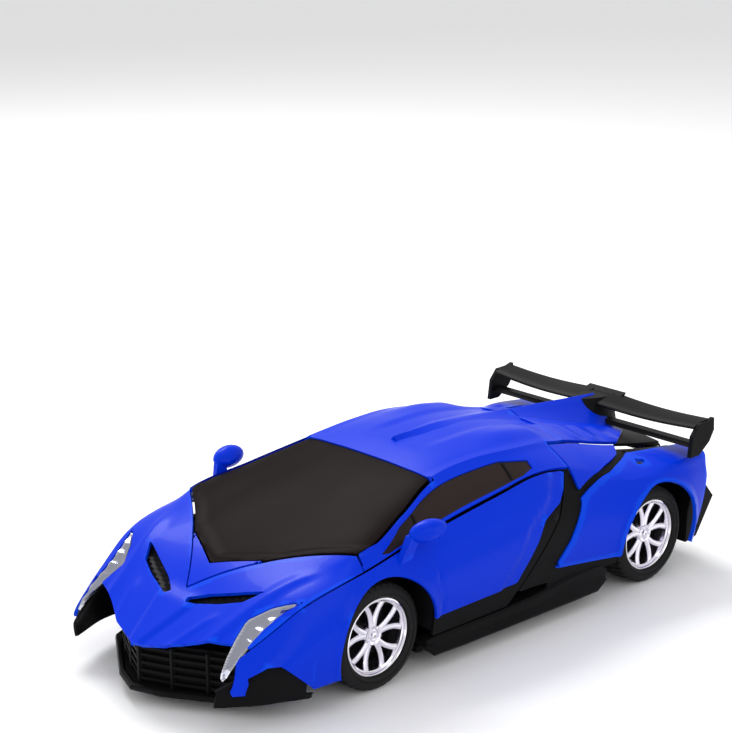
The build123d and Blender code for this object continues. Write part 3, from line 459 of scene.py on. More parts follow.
def skinPanel(name, body, material, low, high, front, rear, outline, side=0, wall=1.5, relief=None,
              lift=0.0, cell=1.25, replaces=(), slot=None, extra=(), bevel=0.22):
    # A wall cut from the skin. outline(s, y, x, z) is negative where there is panel, roughly in mm.
    # Cells whose middle is inside are kept, their rim slides onto the outline, and relief lifts the surface.
    s = lineLevels(low, high, cell)
    q = np.concatenate([s - 5, (5 - s)[::-1][1:]]) if side == 0 else np.sort(side * (5 - s))
    y = np.linspace(front, rear, max(3, math.ceil((rear - front) / cell) + 1))
    gridQ, gridY = [np.array(v) for v in np.meshgrid(q, y, indexing="ij")]

    def field(gridQ, gridY):
        places = skinPlace(gridQ, gridY)
        return outline(5 - np.abs(gridQ), gridY, np.abs(places[..., 0]), places[..., 2])

    middle = [(v[:-1, :-1] + v[1:, 1:]) / 2 for v in (gridQ, gridY)]
    kept = field(*middle) < 0
    padded = np.pad(kept, 1)
    count = (padded[:-1, :-1].astype(int) + padded[1:, :-1] + padded[:-1, 1:] + padded[1:, 1:])
    full = np.pad(np.ones_like(kept), 1)
    every = (full[:-1, :-1].astype(int) + full[1:, :-1] + full[:-1, 1:] + full[1:, 1:])
    rim = (count > 0) & (count < every)
    rq, ry = gridQ[rim], gridY[rim]
    for _ in range(4):
        value = field(rq, ry)
        dq, dy = (field(rq + 0.01, ry) - value) / 0.01, (field(rq, ry + 0.1) - value) / 0.1
        gauge = np.linalg.norm(skinPlace(rq + 0.01, ry) - skinPlace(rq - 0.01, ry), axis=-1) / 0.02
        slope = (dq / gauge) ** 2 + dy ** 2 + 1e-9
        far = np.clip(value / slope, -cell, cell)
        rq = np.clip(rq - far * dq / gauge ** 2, q[0], q[-1])
        ry = np.clip(ry - far * dy, front, rear)
    gridQ[rim], gridY[rim] = rq, ry

    places, normals = skinPlace(gridQ, gridY), skinNormal(gridQ, gridY)
    rise = np.full(gridQ.shape, float(lift))
    if relief is not None:
        rise = rise + relief(5 - np.abs(gridQ), gridY, np.abs(places[..., 0]), places[..., 2])
    outer = places + normals * rise[..., None]
    inner = outer - normals * wall
    size = gridQ.size
    index = np.arange(size).reshape(gridQ.shape)
    a, b, c, d = index[:-1, :-1], index[1:, :-1], index[1:, 1:], index[:-1, 1:]
    faces = [np.stack([v[kept] for v in (a, b, c, d)], 1),
             np.stack([v[kept] + size for v in (d, c, b, a)], 1)]
    beside = [(a, b, padded[1:-1, :-2]), (b, c, padded[2:, 1:-1]), (c, d, padded[1:-1, 2:]),
              (d, a, padded[:-2, 1:-1])]
    for start, end, neighbour in beside:
        exposed = kept & ~neighbour
        i, j = start[exposed], end[exposed]
        faces.append(np.stack([j, i, i + size, j + size], 1))
    faces = np.concatenate(faces)
    points = np.concatenate([outer.reshape(-1, 3), inner.reshape(-1, 3)])
    used, faces = np.unique(faces, return_inverse=True)
    solid = points[used], faces.reshape(-1, 4).tolist()
    if extra:
        solid = joined(solid, *extra)
    return addPiece(name, *solid, material, body, replaces, slot, sharp=24.0, bevel=bevel)


# boundaries on the skin, as (s, y), and places on it
cuts = dict(
    lip=[(2, -113.0), (3, -118.5), (4, -126.0), (5, -129.6)],
    cowl=[(0, -66.6), (2, -66.6), (3, -66), (4, -86), (5, -95)],
    notch=[(0, -67.6), (2, -67.6), (3, -66.9), (4, -86.8), (5, -106)],
    nose=-94.4,
    door=[(0, 4), (1, 32), (2, 44), (5, 44)],
    archRadius=23.3,
    roofFront=-18.0,
    deckFront=60.6,
)


def wheelArch(y, z, axle):
    # how far inside the circle of the arch a place is
    return cuts["archRadius"] - np.hypot(y - axle, z - axleZ)


# hood, vents and the panel in its middle
hood = dict(
    vent=[(6, -110.5), (20, -106.2), (28, -102.8), (33.5, -96), (11.5, -104.6), (4.6, -108.4)],
    lampLine=[(-124.2, 42.4), (-119, 41.3), (-113, 40.2), (-107, 39.6), (-100, 43.0), (-92, 49.2)],
    lampHalf=[(-124.2, 0.5), (-122.5, 1.4), (-119, 2.3), (-113, 3.3), (-107, 4.3), (-100, 2.7), (-92, 0.1)],
    spine=0.9,
)


def lampField(x, y):
    # a curved strip: so far from its middle line, less half its breadth
    along = np.abs(x - edgeAt(hood["lampLine"], y)) - edgeAt(hood["lampHalf"], y)
    return np.maximum(along, np.maximum(-124.2 - y, y + 92.2))


def hoodOutline(s, y, x, z):
    # between the lip and the notch, less the vents and the lamps
    f = np.maximum(edgeAt(cuts["lip"], s) - y, y - edgeAt(cuts["notch"], s))
    f = np.maximum(f, -outsideOf(hood["vent"], x, y))
    return np.maximum(f, -lampField(x, y))


def hoodRelief(s, y, x, z):
    # a raised beak between two creases that run from the vents to the lip, a shoulder along the rail,
    # and a fine crease on each side of the beak
    crease = np.interp(y, [-129.6, -111], [1.5, 8.0])
    beak = hood["spine"] * (1 - step(x - crease, 2.2)) * step(-y - 104, 8)
    shoulder = 0.7 * ridge(s - 3.0, 0.25) * step(-y - 78, 10)
    return beak + shoulder + 0.5 * ridge(x - (19 + 0.45 * (y + 118)), 2.5) * step(-y - 108, 6)


skinPanel("hood_moulding", "nose", "blueShell", 2.02, 5, -130, -62, hoodOutline, wall=1.4,
          relief=hoodRelief, replaces=["hood"], slot="blue_shell")


def ductOutline(s, y, x, z):
    # the vent's outline and a margin under the hood
    return outsideOf(hood["vent"], x, y) - 1.2


def ductRelief(s, y, x, z):
    # slanted vanes, a fixed pitch apart
    return 0.9 * ridge((y - 0.42 * x) % 3.2 - 1.6, 0.9)


skinPanel("hood_vent_duct", "nose", "blackMoulding", 3.0, 5, -112, -94, ductOutline, wall=0.8, lift=-2.6,
          relief=ductRelief, slot="black_plastic")


def hoodPanelOutline(s, y, x, z):
    # between the hood's notch and the cowl
    return np.maximum(edgeAt(cuts["notch"], s) + 1.0 - y, y - edgeAt(cuts["cowl"], s) - 0.1)


skinPanel("hood_centre_panel", "body", "blueShell", 4.06, 5, -106, -84, hoodPanelOutline, wall=1.4,
          lift=0.25, replaces=["hood_panel"], slot="blue_shell")

# the windshield, with its wiper ledge and cowl louvres
glass = dict(ledge=5.0, louvre=1.6)


def windshieldOutline(s, y, x, z):
    # between the cowl and the front of the roof
    return np.maximum(edgeAt(cuts["cowl"], s) + 0.7 - y, y - cuts["roofFront"] + 0.35)


def windshieldRelief(s, y, x, z):
    # the glass steps down behind a cowl strip, whose louvres run across it
    behind = y - edgeAt(cuts["cowl"], s)
    louvres = 0.25 * ridge((x + 0.5 * y) % glass["louvre"] - 0.8, 0.5) * (behind < glass["ledge"] - 0.6)
    return louvres - 0.5 * step(behind - glass["ledge"], 0.8)


skinPanel("windshield_glass", "body", "smokedGlazing", 3.03, 5, -95, -18, windshieldOutline, wall=1.3,
          relief=windshieldRelief, replaces=["windshield"], slot="dark_glazing")
print("hood and windshield")

# roof shell with the side frames
roof = dict(
    low=2.04,
    window=[(-58.0, 2.30), (-54.0, 2.12), (20.0, 2.10), (27.0, 2.22), (27.5, 2.52), (14.0, 2.74),
            (-30.0, 2.78), (-44.0, 2.70)],
    scale=15.0,                # mm of surface to one step of s across the window
    rearLow=46.0,
    rearMid=60.0,
    scoopY=38.0,
    scoopX=24.0,
    fin=dict(front=-4.0, split=60.0, tip=113.0, crest=[(-4, 70.5), (20, 71.3), (60, 68.1), (113, 64.0)],
             foot=[(-4, 3.0), (20, 6.5), (60, 9.2), (113, 12.0)]),
)


def windowField(s, y):
    # the window's outline, with s stretched to millimetres of surface
    corners = [(a, b * roof["scale"]) for a, b in roof["window"]]
    return outsideOf(corners, y, s * roof["scale"])


def roofOutline(s, y, x, z):
    # roof and pillars: behind the windshield or the cowl, ahead of the tail deck, less the side windows
    rear = np.where(s > 3.0, roof["rearMid"], roof["rearLow"])
    f = y - rear
    f = np.maximum(f, np.where(s > 3.02, cuts["roofFront"] - y, edgeAt(cuts["cowl"], s) - y))
    return np.maximum(f, -windowField(s, y))


def roofRelief(s, y, x, z):
    # a drip rail over the glass, a hollow down the middle of the roof, and two scoops that swell behind it
    rail = 0.55 * ridge(s - 3.0, 0.2)
    hollow = -0.8 * step(y + 8, 18) * (1 - step(x - 12, 5))
    bulge = 1.6 * np.exp(-((x - roof["scoopX"]) / 6.5) ** 2)
    scoop = bulge * step(y - roof["scoopY"] + 26, 24) * (1 - step(y - 44, 12))
    return rail + hollow + scoop


def finSolid(front, rear):
    # a wedge along the crown: at each y a section from foot to crest that hollows a little on its sides
    spec = roof["fin"]
    y = np.linspace(front, rear, 26)
    v = np.linspace(-1, 1, 17)
    gridY, gridV = np.meshgrid(y, v, indexing="ij")
    foot = np.interp(gridY, *np.array(spec["foot"], float).T)
    crest = np.interp(gridY, *np.array(spec["crest"], float).T)
    spread = 0.08 * np.minimum(1, np.abs(gridV) * 12) + 0.92 * np.abs(gridV) ** 1.15
    gridX = foot * np.sign(gridV) * spread
    s = 5 - np.abs(gridX) / 16.0
    base = skinPlace(s - 5, gridY)[..., 2] - 1.2
    gridZ = np.maximum(base, base + (crest - base) * (1 - np.abs(gridV) ** 0.9))
    top = np.stack([gridX, gridY, gridZ], -1)
    under = np.stack([gridX[:, ::-1] * 0.96, gridY, base[:, ::-1] - 0.2], -1)
    return tubeOf(np.concatenate([top, under[:, 1:-1]], 1))


skinPanel("roof_moulding", "body", "blueShell", roof["low"], 5, -67, 60, roofOutline, wall=1.5,
          relief=roofRelief, extra=[finSolid(roof["fin"]["front"], roof["fin"]["split"])],
          replaces=["roof_shell"], slot="blue_shell")


# side glass, a little under the frame, with its two division bars
def divisionBar(y0, s0, y1, s1, side):
    # a thin square bar that follows the skin between two places
    t = np.linspace(0, 1, 9)
    y, s = y0 + (y1 - y0) * t, s0 + (s1 - s0) * t
    middle = skinPlace(side * (5 - s), y)
    n = skinNormal(side * (5 - s), y)
    a = middle - n * 0.9
    corners = ((-0.5, 0), (0.5, 0), (0.5, 0.75), (-0.5, 0.75))
    rings = [a + off * np.array([0, 1.0, 0]) + n * rise for off, rise in corners]
    return tubeOf(np.stack(rings, 1))


def sideGlassOutline(s, y, x, z):
    # a hair inside the window
    return windowField(s, y) + 0.12


for side, word in ((1, "left"), (-1, "right")):
    skinPanel(f"window_{word}", "body", "windowGlazing", 2.02, 2.98, -60, 29, sideGlassOutline, side=side,
              wall=0.9, lift=-0.55, bevel=0,
              replaces=["side_windows"] if side > 0 else (), slot="dark_glazing")
    bars = joined(divisionBar(-37.5, 2.14, -35.5, 2.7, side), divisionBar(14.5, 2.16, 15.5, 2.68, side))
    addPiece(f"window_bars_{word}", *bars, "blackMoulding", "body", slot="black_plastic", bevel=0.12)
print("roof and side glass")

# nose corners: blue cheek, black air dam and lamp
cheek = dict(
    under=[(-130, 15.5), (-118, 15.5), (-117.4, 21.2), (-111, 24.2), (-107, 24.2), (-95, 13.5), (-90, 10)],
    front=[(0, -121), (1, -123), (2, -118)],
    damUnder=7.0,
)


def cheekOutline(s, y, x, z):
    # the corner of the nose, cut off below along a stepped line and above by the lamp
    f = np.maximum(edgeAt(cheek["front"], s) - y, y - cuts["nose"])
    f = np.maximum(f, (edgeAt(cheek["under"], y) - z) * 0.8)
    return np.maximum(f, -lampField(x, y))


def lampOutline(s, y, x, z):
    # a hair inside the lamp's opening
    return lampField(x, y) + 0.1


def damOutline(s, y, x, z):
    # the black sheet behind the cheek, down to the air dam's lower edge
    return np.maximum(cheek["damUnder"] - z, y - cuts["nose"])


def lampRelief(s, y, x, z):
    # the reflector dips between the rims of the strip, in steps that catch the light
    across = (x - edgeAt(hood["lampLine"], y)) / (edgeAt(hood["lampHalf"], y) + 0.4)
    return -1.0 * (1 - across ** 2) + 0.35 * ridge((y % 4.4) - 2.2, 1.4) * (across > 0)


for side, word in ((1, "left"), (-1, "right")):
    skinPanel(f"cheek_{word}", "nose", "blueShell", 0, 1.98, -127, -94, cheekOutline, side=side, wall=1.4,
              replaces=["front_bumper"] if side > 0 else (), slot="blue_shell")
    skinPanel(f"lamp_strip_{word}", "nose", "lampFoil", 1.2, 3.0, -126, -91, lampOutline, side=side,
              wall=0.8, lift=-0.3, relief=lampRelief, cell=0.7, bevel=0,
              replaces=["headlights"] if side > 0 else (), slot="silver_plastic")
    skinPanel(f"air_dam_{word}", "nose", "blackMoulding", 0, 1.45, -127, -95, damOutline, side=side,
              wall=1.2, lift=-2.0, slot="black_plastic")

# splitter and grille, both arrow-shaped in plan
chin = dict(
    splitterFront=[(0, -131.5), (12, -127.2), (39, -109.6), (48, -90.5)],
    splitterBack=[(0, -117.0), (30, -103.0), (41, -92.0), (48, -88.5)],
    grille=[(0, -126.6), (14, -120.4), (38, -107.0)],
    bars=[8.4, 11.4, 14.4, 17.4, 20.2],
    posts=[-24, -12, 0, 12, 24],
    half=35.0,
)


def acrossCar(half, count, section):
    # a closed solid whose (y, z) section is worked out at every x from right to left
    x = np.linspace(-half, half, count)
    corners = section(np.abs(x))
    rings = [np.stack([x, y + 0 * x, z + 0 * x], 1) for y, z in corners]
    return tubeOf(np.stack(rings, 1))


def splitterSection(x):
    # a thin tray with a rolled front edge
    f, b = edgeAt(chin["splitterFront"], x), edgeAt(chin["splitterBack"], x)
    return [(f + 0.3, 5.0), (f, 5.7), (f + 0.5, 6.9), (f + 1.8, 7.2), (f + 2.8, 6.4), (b, 6.4), (b, 5.0)]


def barSection(level, low, high, ahead, behind):
    # a bar or sheet that follows the line of the grille
    def section(x):
        y = edgeAt(chin["grille"], x)
        return [(y - ahead, level + low), (y - ahead, level + high), (y + behind, level + high),
                (y + behind, level + low)]
    return section


addPiece("splitter_tray", *acrossCar(48.0, 65, splitterSection), "blackMoulding", "nose", ["splitter"],
         "black_plastic", sharp=30, bevel=0.15)
grilleParts = []
for level in chin["bars"]:
    grilleParts.append(acrossCar(chin["half"], 49, barSection(level, -0.55, 0.55, 0.6, 0.7)))
grilleParts.append(acrossCar(chin["half"] + 2, 49, barSection(0, 6.6, 22.2, -1.2, 2.4)))
for x in chin["posts"]:
    y = float(edgeAt(chin["grille"], abs(x)))
    square = [(x - 0.6, y - 1.0), (x + 0.6, y - 1.0), (x + 0.6, y + 1.4), (x - 0.6, y + 1.4)]
    grilleParts.append(prism(square, 6.4, 21.6, "z"))
addPiece("grille_bars", *joined(*grilleParts), "blackMoulding", "nose", ["grille"], "black_plastic",
         bevel=0.12)
print("cheeks, lamps, splitter and grille")

# fender and door, which slide out as an arm
arm = dict(
    under=[(-94.5, 12.0), (-84, 12.0), (-50, 12.0), (-37.5, 19.0), (-36.0, 22.6), (4.5, 22.9)],
    rear=[(0.3, 7.5), (0.42, 10), (0.78, 19), (1.06, 24.5), (1.3, 34), (1.97, 44)],
    inset=9.5,
    sillUnder=14.4,
    mirror=dict(
        root=(51.2, -42.5), tip=(60.2, -39.0), height=57.3, half=(7.6, 4.2),
        stalkFoot=[(51.4, -52.0, 45.5), (51.4, -45.0, 46.5), (53.2, -45.5, 46.5), (53.2, -51.5, 45.5)],
        stalkHead=[(53.0, -48.5, 56.0), (53.0, -43.8, 56.0), (56.0, -43.5, 56.0), (56.0, -48.0, 56.0)],
    ),
)


def armOutline(s, y, x, z):
    # from the nose's edge to the door's slanted rear, above the sill line, less the wheel arch
    f = np.maximum(cuts["nose"] + 0.8 - y, y - edgeAt(cuts["door"], s))
    f = np.maximum(f, y - edgeAt(arm["rear"], s))
    f = np.maximum(f, edgeAt(arm["under"], y) - z)
    return np.maximum(f, wheelArch(y, z, frontAxleY))


def armRelief(s, y, x, z):
    # a rolled lip round the wheel, the shoulder crease, the door's front seam, and its rear flange,
    # which is set in behind its own crease
    lip = 0.9 * ridge(np.hypot(y - frontAxleY, z - axleZ) - cuts["archRadius"] - 0.6, 2.2) * (z > 12)
    shoulder = 0.9 * ridge(s - 1.55, 0.32) * step(y + 44, 20)
    flange = -0.9 * step(y - edgeAt(arm["rear"], s) + arm["inset"], 1.6) * (z > 20)
    seam = -0.5 * ridge(y + 33.5 + 0.12 * (z - 30), 0.7) * (z > 20) * (s < 1.5)
    return lip + shoulder + flange + seam


def mirrorSolid(side):
    # an egg-shaped shell on a stalk: sections along x whose breadth follows a round-ended curve
    spec = arm["mirror"]
    t = np.linspace(0, 1, 15)
    x = spec["root"][0] + (spec["tip"][0] - spec["root"][0]) * t
    bow = np.sqrt(np.clip(1 - (2 * np.clip(t, 0.02, 0.985) - 1) ** 2, 0.02, 1))
    swell = bow * 0.75 + 0.25 * step(t, 0.5)
    angle = np.linspace(0, 2 * np.pi, 20, endpoint=False)
    yMid = spec["root"][1] + (spec["tip"][1] - spec["root"][1]) * t
    zMid = spec["height"] - 1.2 * (1 - t)
    ring = np.stack([np.repeat(x[:, None], 20, 1),
                     yMid[:, None] + spec["half"][0] * swell[:, None] * np.cos(angle)[None],
                     zMid[:, None] + spec["half"][1] * swell[:, None] * np.sin(angle)[None]], -1)
    stalkT = np.linspace(0, 1, 8)[:, None]
    stalk = (np.array(spec["stalkFoot"])[None] * (1 - stalkT[..., None])
             + np.array(spec["stalkHead"])[None] * stalkT[..., None])
    both = joined(tubeOf(ring), tubeOf(stalk))
    return both if side > 0 else mirrored(both)


def sillOutline(s, y, x, z):
    # the black sheet behind the door's lower edge
    f = np.maximum(-36.0 - y, y - edgeAt(cuts["door"], s))
    f = np.maximum(f, arm["sillUnder"] - z)
    return np.maximum(f, wheelArch(y, z, frontAxleY))


for side, word in ((1, "left"), (-1, "right")):
    body = f"arm_{word}"
    skinPanel(f"door_and_fender_{word}", body, "blueShell", 0, 1.96, -94, 45, armOutline, side=side,
              wall=1.2, relief=armRelief, extra=[mirrorSolid(side)], replaces=[f"arm_skin_{word}"],
              slot="blue_shell")
    skinPanel(f"door_sill_{word}", body, "blackMoulding", 0, 1.96, -37, 45, sillOutline, side=side,
              wall=1.2, lift=-1.3, slot="black_plastic")
print("arms")

# rear fender, its upper flank and the black strip between them
rearBody = dict(
    fenderFront=[(18.0, 24.0), (23.5, 29.0), (32.4, 37.5), (44.7, 46.3), (47.5, 47.0)],
    under=[(20, 23.6), (28.5, 23.4), (64, 18.8), (70, 18.0), (108, 13.0), (113, 12.0), (124, 16.0)],
    strip=[(1.30, 46.5), (2.25, 75.0), (2.62, 88.5), (2.95, 95.0)],
    stripWidth=5.2,
    vent=[(43.0, 88.5), (45.8, 94.0), (47.4, 86.2)],
    tailCut=[(12.0, 113.8), (38.0, 124.0)],
    tailWall=[(34, 34), (52.2, 34), (50.2, 45.8), (34, 45.8)],
)


def fenderOutline(s, y, x, z):
    # behind the slanted front edge and the strip, less the vent, the bumper's cut and the wheel arch
    f = np.maximum(edgeAt(rearBody["fenderFront"], z) - y, y - 124)
    f = np.maximum(f, edgeAt(rearBody["strip"], s) - y + (s < 1.3) * -50)
    f = np.maximum(f, (s - 2.62) * 18)
    f = np.maximum(f, edgeAt(rearBody["under"], y) - z)
    f = np.maximum(f, -outsideOf(rearBody["vent"], x, y))
    f = np.maximum(f, (y - edgeAt(rearBody["tailCut"], z)) * 0.9)
    return np.maximum(f, wheelArch(y, z, rearAxleY))


def flankOutline(s, y, x, z):
    # ahead of the strip and above the shoulder
    f = np.maximum(46.8 - y, y - edgeAt(rearBody["strip"], s) + rearBody["stripWidth"])
    return np.maximum(f, (1.5 - s) * 12)


def fenderRelief(s, y, x, z):
    # a rolled lip round the wheel, a shoulder crease, and a front edge that is set in a little
    lip = 0.9 * ridge(np.hypot(y - rearAxleY, z - axleZ) - cuts["archRadius"] - 0.6, 2.4) * (z > 12)
    shoulder = 0.6 * ridge(s - 1.6 - 0.004 * (y - 50), 0.25) * step(y - 48, 10)
    front = -0.6 * (1 - step(y - edgeAt(rearBody["fenderFront"], z), 2.0))
    return lip + shoulder + front


def stripOutline(s, y, x, z):
    # a band either side of the strip's line; above s = 2.7 it runs straight back instead
    line = edgeAt(rearBody["strip"], s)
    band = np.maximum(y - line - 3.0, line - rearBody["stripWidth"] - 3.0 - y)
    return band * (s < 2.7) + (s >= 2.7) * np.maximum(84 - y, y - 122)


for side, word in ((1, "left"), (-1, "right")):
    tailWall = prism([(side * x, z) for x, z in rearBody["tailWall"]], 121.6, 123.2, "y")
    skinPanel(f"rear_quarter_{word}", "base", "blueShell", 0, 2.9, 22, 124, fenderOutline, side=side,
              wall=1.5, relief=fenderRelief, extra=[tailWall], replaces=[f"rear_fender_{word}"],
              slot="blue_shell")
    skinPanel(f"rear_flank_{word}", "base", "blueShell", 1.4, 2.93, 46, 96, flankOutline, side=side,
              wall=1.2, slot="blue_shell")
    skinPanel(f"rear_strip_{word}", "base", "blackMoulding", 1.1, 2.9, 46.8, 123, stripOutline, side=side,
              wall=1.0, lift=-1.7, slot="black_plastic")


# side skirt: the black blade between door and rear wheel
skirt = dict(
    y=[-37.5, -34, -20, 0, 20, 40, 56, 61.5],
    low=[9.0, 5.6, 5.5, 5.5, 5.5, 5.5, 5.5, 8.0],
    high=[12.0, 13.4, 13.6, 13.6, 14.6, 17.0, 17.2, 14.0],
    out=[53.0, 54.2, 54.6, 54.6, 54.6, 54.6, 54.4, 53.6],
    sillUnder=15.0,
)


def skirtOutline(s, y, x, z):
    # the slash between the door's rear edge and the rear fender
    return np.maximum(edgeAt(cuts["door"], s) + 0.9 - y, y - edgeAt(rearBody["fenderFront"], z) - 3.0)


def skirtBlade(side):
    # a sill blade: its section is a leaning wedge, its height falls and rises again towards the wheel
    y, low, high, out = [np.array(skirt[key], float) for key in ("y", "low", "high", "out")]
    rings = np.stack([np.stack([out - 7, y, low + 0.6], 1), np.stack([out - 0.8, y, low], 1),
                      np.stack([out, y, low + 1.2], 1), np.stack([out - 0.9, y, (low + high) / 2], 1),
                      np.stack([out, y, high - 0.8], 1), np.stack([out - 0.9, y, high], 1),
                      np.stack([out - 7, y, high - 0.5], 1)], 1)
    solid = tubeOf(rings)
    return solid if side > 0 else mirrored(solid)


def rearSillOutline(s, y, x, z):
    # a low sheet behind the fender's lower edge
    return np.maximum(z - edgeAt(rearBody["under"], y) - 2.0, skirt["sillUnder"] - z)


for side, word in ((1, "left"), (-1, "right")):
    skinPanel(f"side_blade_{word}", "base", "blackMoulding", 0.15, 1.9, 4, 58, skirtOutline, side=side,
              wall=1.4, lift=-1.2, extra=[skirtBlade(side)], replaces=[f"side_skirt_{word}"],
              slot="black_plastic")
    skinPanel(f"rear_sill_{word}", "base", "blackMoulding", 0, 0.5, 26, 66, rearSillOutline, side=side,
              wall=1.2, lift=-1.3, slot="black_plastic")

# rear bumper: a keel-shaped bar across the car, cheeks that close it behind the wheels, and diffuser fins
tail = dict(
    half=47.0,
    bow=1.4,
    keel=[(125.0, 10.5), (126.2, 10.2), (131.4, 26.6), (128.4, 32.6), (125.0, 32.6)],
    cheek=[(114.0, 10.4), (121.0, 11.6), (131.2, 27.0), (122.4, 37.2), (118.0, 36.0), (114.4, 24.0)],
    fin=[(121.0, 8.4), (126.0, 8.2), (130.6, 15.0), (129.2, 20.0), (124.6, 20.0)],
    finPlaces=[-27, -16, -5.5, 5.5, 16, 27],
    ribs=[15.5, 20.5],
    ribRake=0.36,
    lamp=[(22, 33.6), (45.5, 33.6), (44, 40.4), (24, 40.4)],
    lampFirst=25.5,
    lampPitch=3.3,
)


def keelSection(x):
    # the keel's section, whose outer points bow back towards the middle of the car
    bow = tail["bow"] * (1 - (x / tail["half"]) ** 2)
    return [(y + bow * (y > 126), z) for y, z in tail["keel"]]


bumperParts = [acrossCar(tail["half"], 41, keelSection)]
for side in (1, -1):
    bumperParts.append(prism(tail["cheek"], side * 46.0, side * 51.2, "x"))
for x in tail["finPlaces"]:
    bumperParts.append(prism(tail["fin"], x - 0.7, x + 0.7, "x"))
for level in tail["ribs"]:
    rake = (level - tail["ribs"][0]) * tail["ribRake"]
    rib = [(127.0 + rake, level), (129.8 + rake, level), (129.9 + rake, level + 1.1), (127.0, level + 1.1)]
    bumperParts.append(prism(rib, -40, 40, "x"))
addPiece("rear_bumper_keel", *joined(*bumperParts), "blackMoulding", "base", ["rear_bumper"],
         "black_plastic", sharp=30, bevel=0.25)
lampParts = []
for side in (1, -1):
    lampParts.append(prism([(side * x, z) for x, z in tail["lamp"]], 124.2, 126.2, "y"))
    for k in range(6):
        x = tail["lampFirst"] + tail["lampPitch"] * k
        block = [(side * x, 34.6), (side * (x + 2.4), 34.6), (side * (x + 2.4), 39.4), (side * x, 39.4)]
        lampParts.append(prism(block, 126.0, 127.2, "y"))
addPiece("tail_lamp_lenses", *joined(*lampParts), "redLens", "base", ["tail_lights"], "red_lens", bevel=0.2)
print("rear quarters, skirts and bumper")

# tail deck: blue engine cover, black deck beyond it
deck = dict(rear=[(3.0, 92.5), (3.64, 107), (3.86, 112), (4.2, 113.4), (5, 113.4)], end=121.2)


def deckOutline(s, y, x, z):
    # the blue cover ends along a line that steps back beside the fin
    return np.maximum(cuts["deckFront"] - y, y - edgeAt(deck["rear"], s))


def deckRelief(s, y, x, z):
    # louvred steps each side of the fin
    beside = step(x - 13, 2) * (1 - step(x - 27, 2))
    return 0.7 * ridge(((y - 66) % 11) - 5.5, 5.5) * beside * step(y - 64, 4) * (y < 104)


def blackDeckOutline(s, y, x, z):
    # from just under the blue cover to the end of the tail
    return np.maximum(edgeAt(deck["rear"], s) - 1.5 - y, y - deck["end"])


skinPanel("engine_cover", "tail", "blueShell", 3.07, 5, 60, 114, deckOutline, wall=1.4, relief=deckRelief,
          extra=[finSolid(roof["fin"]["split"] + 0.8, roof["fin"]["tip"])], replaces=["rear_deck"],
          slot="blue_shell")
skinPanel("tail_deck", "tail", "blackMoulding", 3.07, 5, 88, deck["end"], blackDeckOutline, wall=1.4,
          lift=-0.9, slot="black_plastic")

# wing
wing = dict(
    inner=5.0,
    half=56.6,
    span=14,
    middle=114.8,
    chord=6.6,
    height=62.35,
    sag=1.1,
    plate=[(107.4, 49.8), (113.0, 49.8), (119.5, 54.5), (122.3, 59.0), (122.0, 64.2), (118.5, 63.2),
           (112.5, 63.0), (108.6, 58.5)],
    rail=[(109.4, 53.3), (112.8, 53.3), (115.8, 54.6), (111.2, 54.8)],
    lip=[(118.2, 63.2), (122.4, 64.4), (122.0, 63.4), (119.0, 62.4)],
    postY=[103.5, 107, 112, 117, 121.5],
    postFoot=[6.4, 7.6, 8.2, 7.6, 6.0],
    postTop=[2.0, 4.0, 5.6, 5.4, 3.5],
    postLow=[55.6, 54.6, 53.0, 51.6, 50.8],
    postHigh=[63.6, 63.6, 63.4, 63.3, 62.8],
)


def bladeSolid(x0, x1, side):
    # an aerofoil carried outwards: it dips a little to mid span and sweeps back to its end
    u = np.linspace(0, 1, wing["span"])[:, None]
    a = np.linspace(0, 2 * np.pi, 24, endpoint=False)[None]
    chord = np.cos(a)
    camber = np.sin(a) * 0.9 * (1 - 0.45 * chord)
    x = (x0 + (x1 - x0) * u) * np.ones_like(a)
    y = wing["middle"] + 0.9 * u + (wing["chord"] - 1.3 * u) * chord
    z = wing["height"] - wing["sag"] * np.sin(np.pi * u) + camber + 0.19 * (y - wing["middle"])
    solid = tubeOf(np.stack([x, y, z], -1))
    return solid if side > 0 else mirrored(solid)


def wingPost():
    # the middle fairing: broad at its foot, pinched to the blade, with a raked back
    keys = ("postY", "postFoot", "postTop", "postLow", "postHigh")
    y, foot, top, low, high = [np.array(wing[key], float) for key in keys]
    middle, level = (foot + top) / 2, (low + high) / 2
    corners = [(-foot, low), (foot, low), (middle, level), (top, high), (-top, high), (-middle, level)]
    return tubeOf(np.stack([np.stack([x, y, z], 1) for x, z in corners], 1))


wingParts = [wingPost()]
for side in (1, -1):
    wingParts.append(bladeSolid(wing["inner"], wing["half"] - 1.2, side))
    wingParts.append(prism(wing["plate"], side * 54.8, side * 56.8, "x"))
    wingParts.append(prism(wing["rail"], side * wing["inner"], side * (wing["half"] - 1.5), "x"))
wingParts.append(prism(wing["lip"], -10, 10, "x"))
addPiece("rear_wing", *joined(*wingParts), "blackMoulding", "tail", ["wing"], "black_plastic", sharp=30,
         bevel=0.35)
print("tail and wing")


# wheels
wheel = dict(
    innerX=36.4, outerX=52.4, radius=20.0, rim=14.8, spokes=5, spread=13.0, hub=3.9,
    treadBlocks=40, treadDepth=0.55,
)


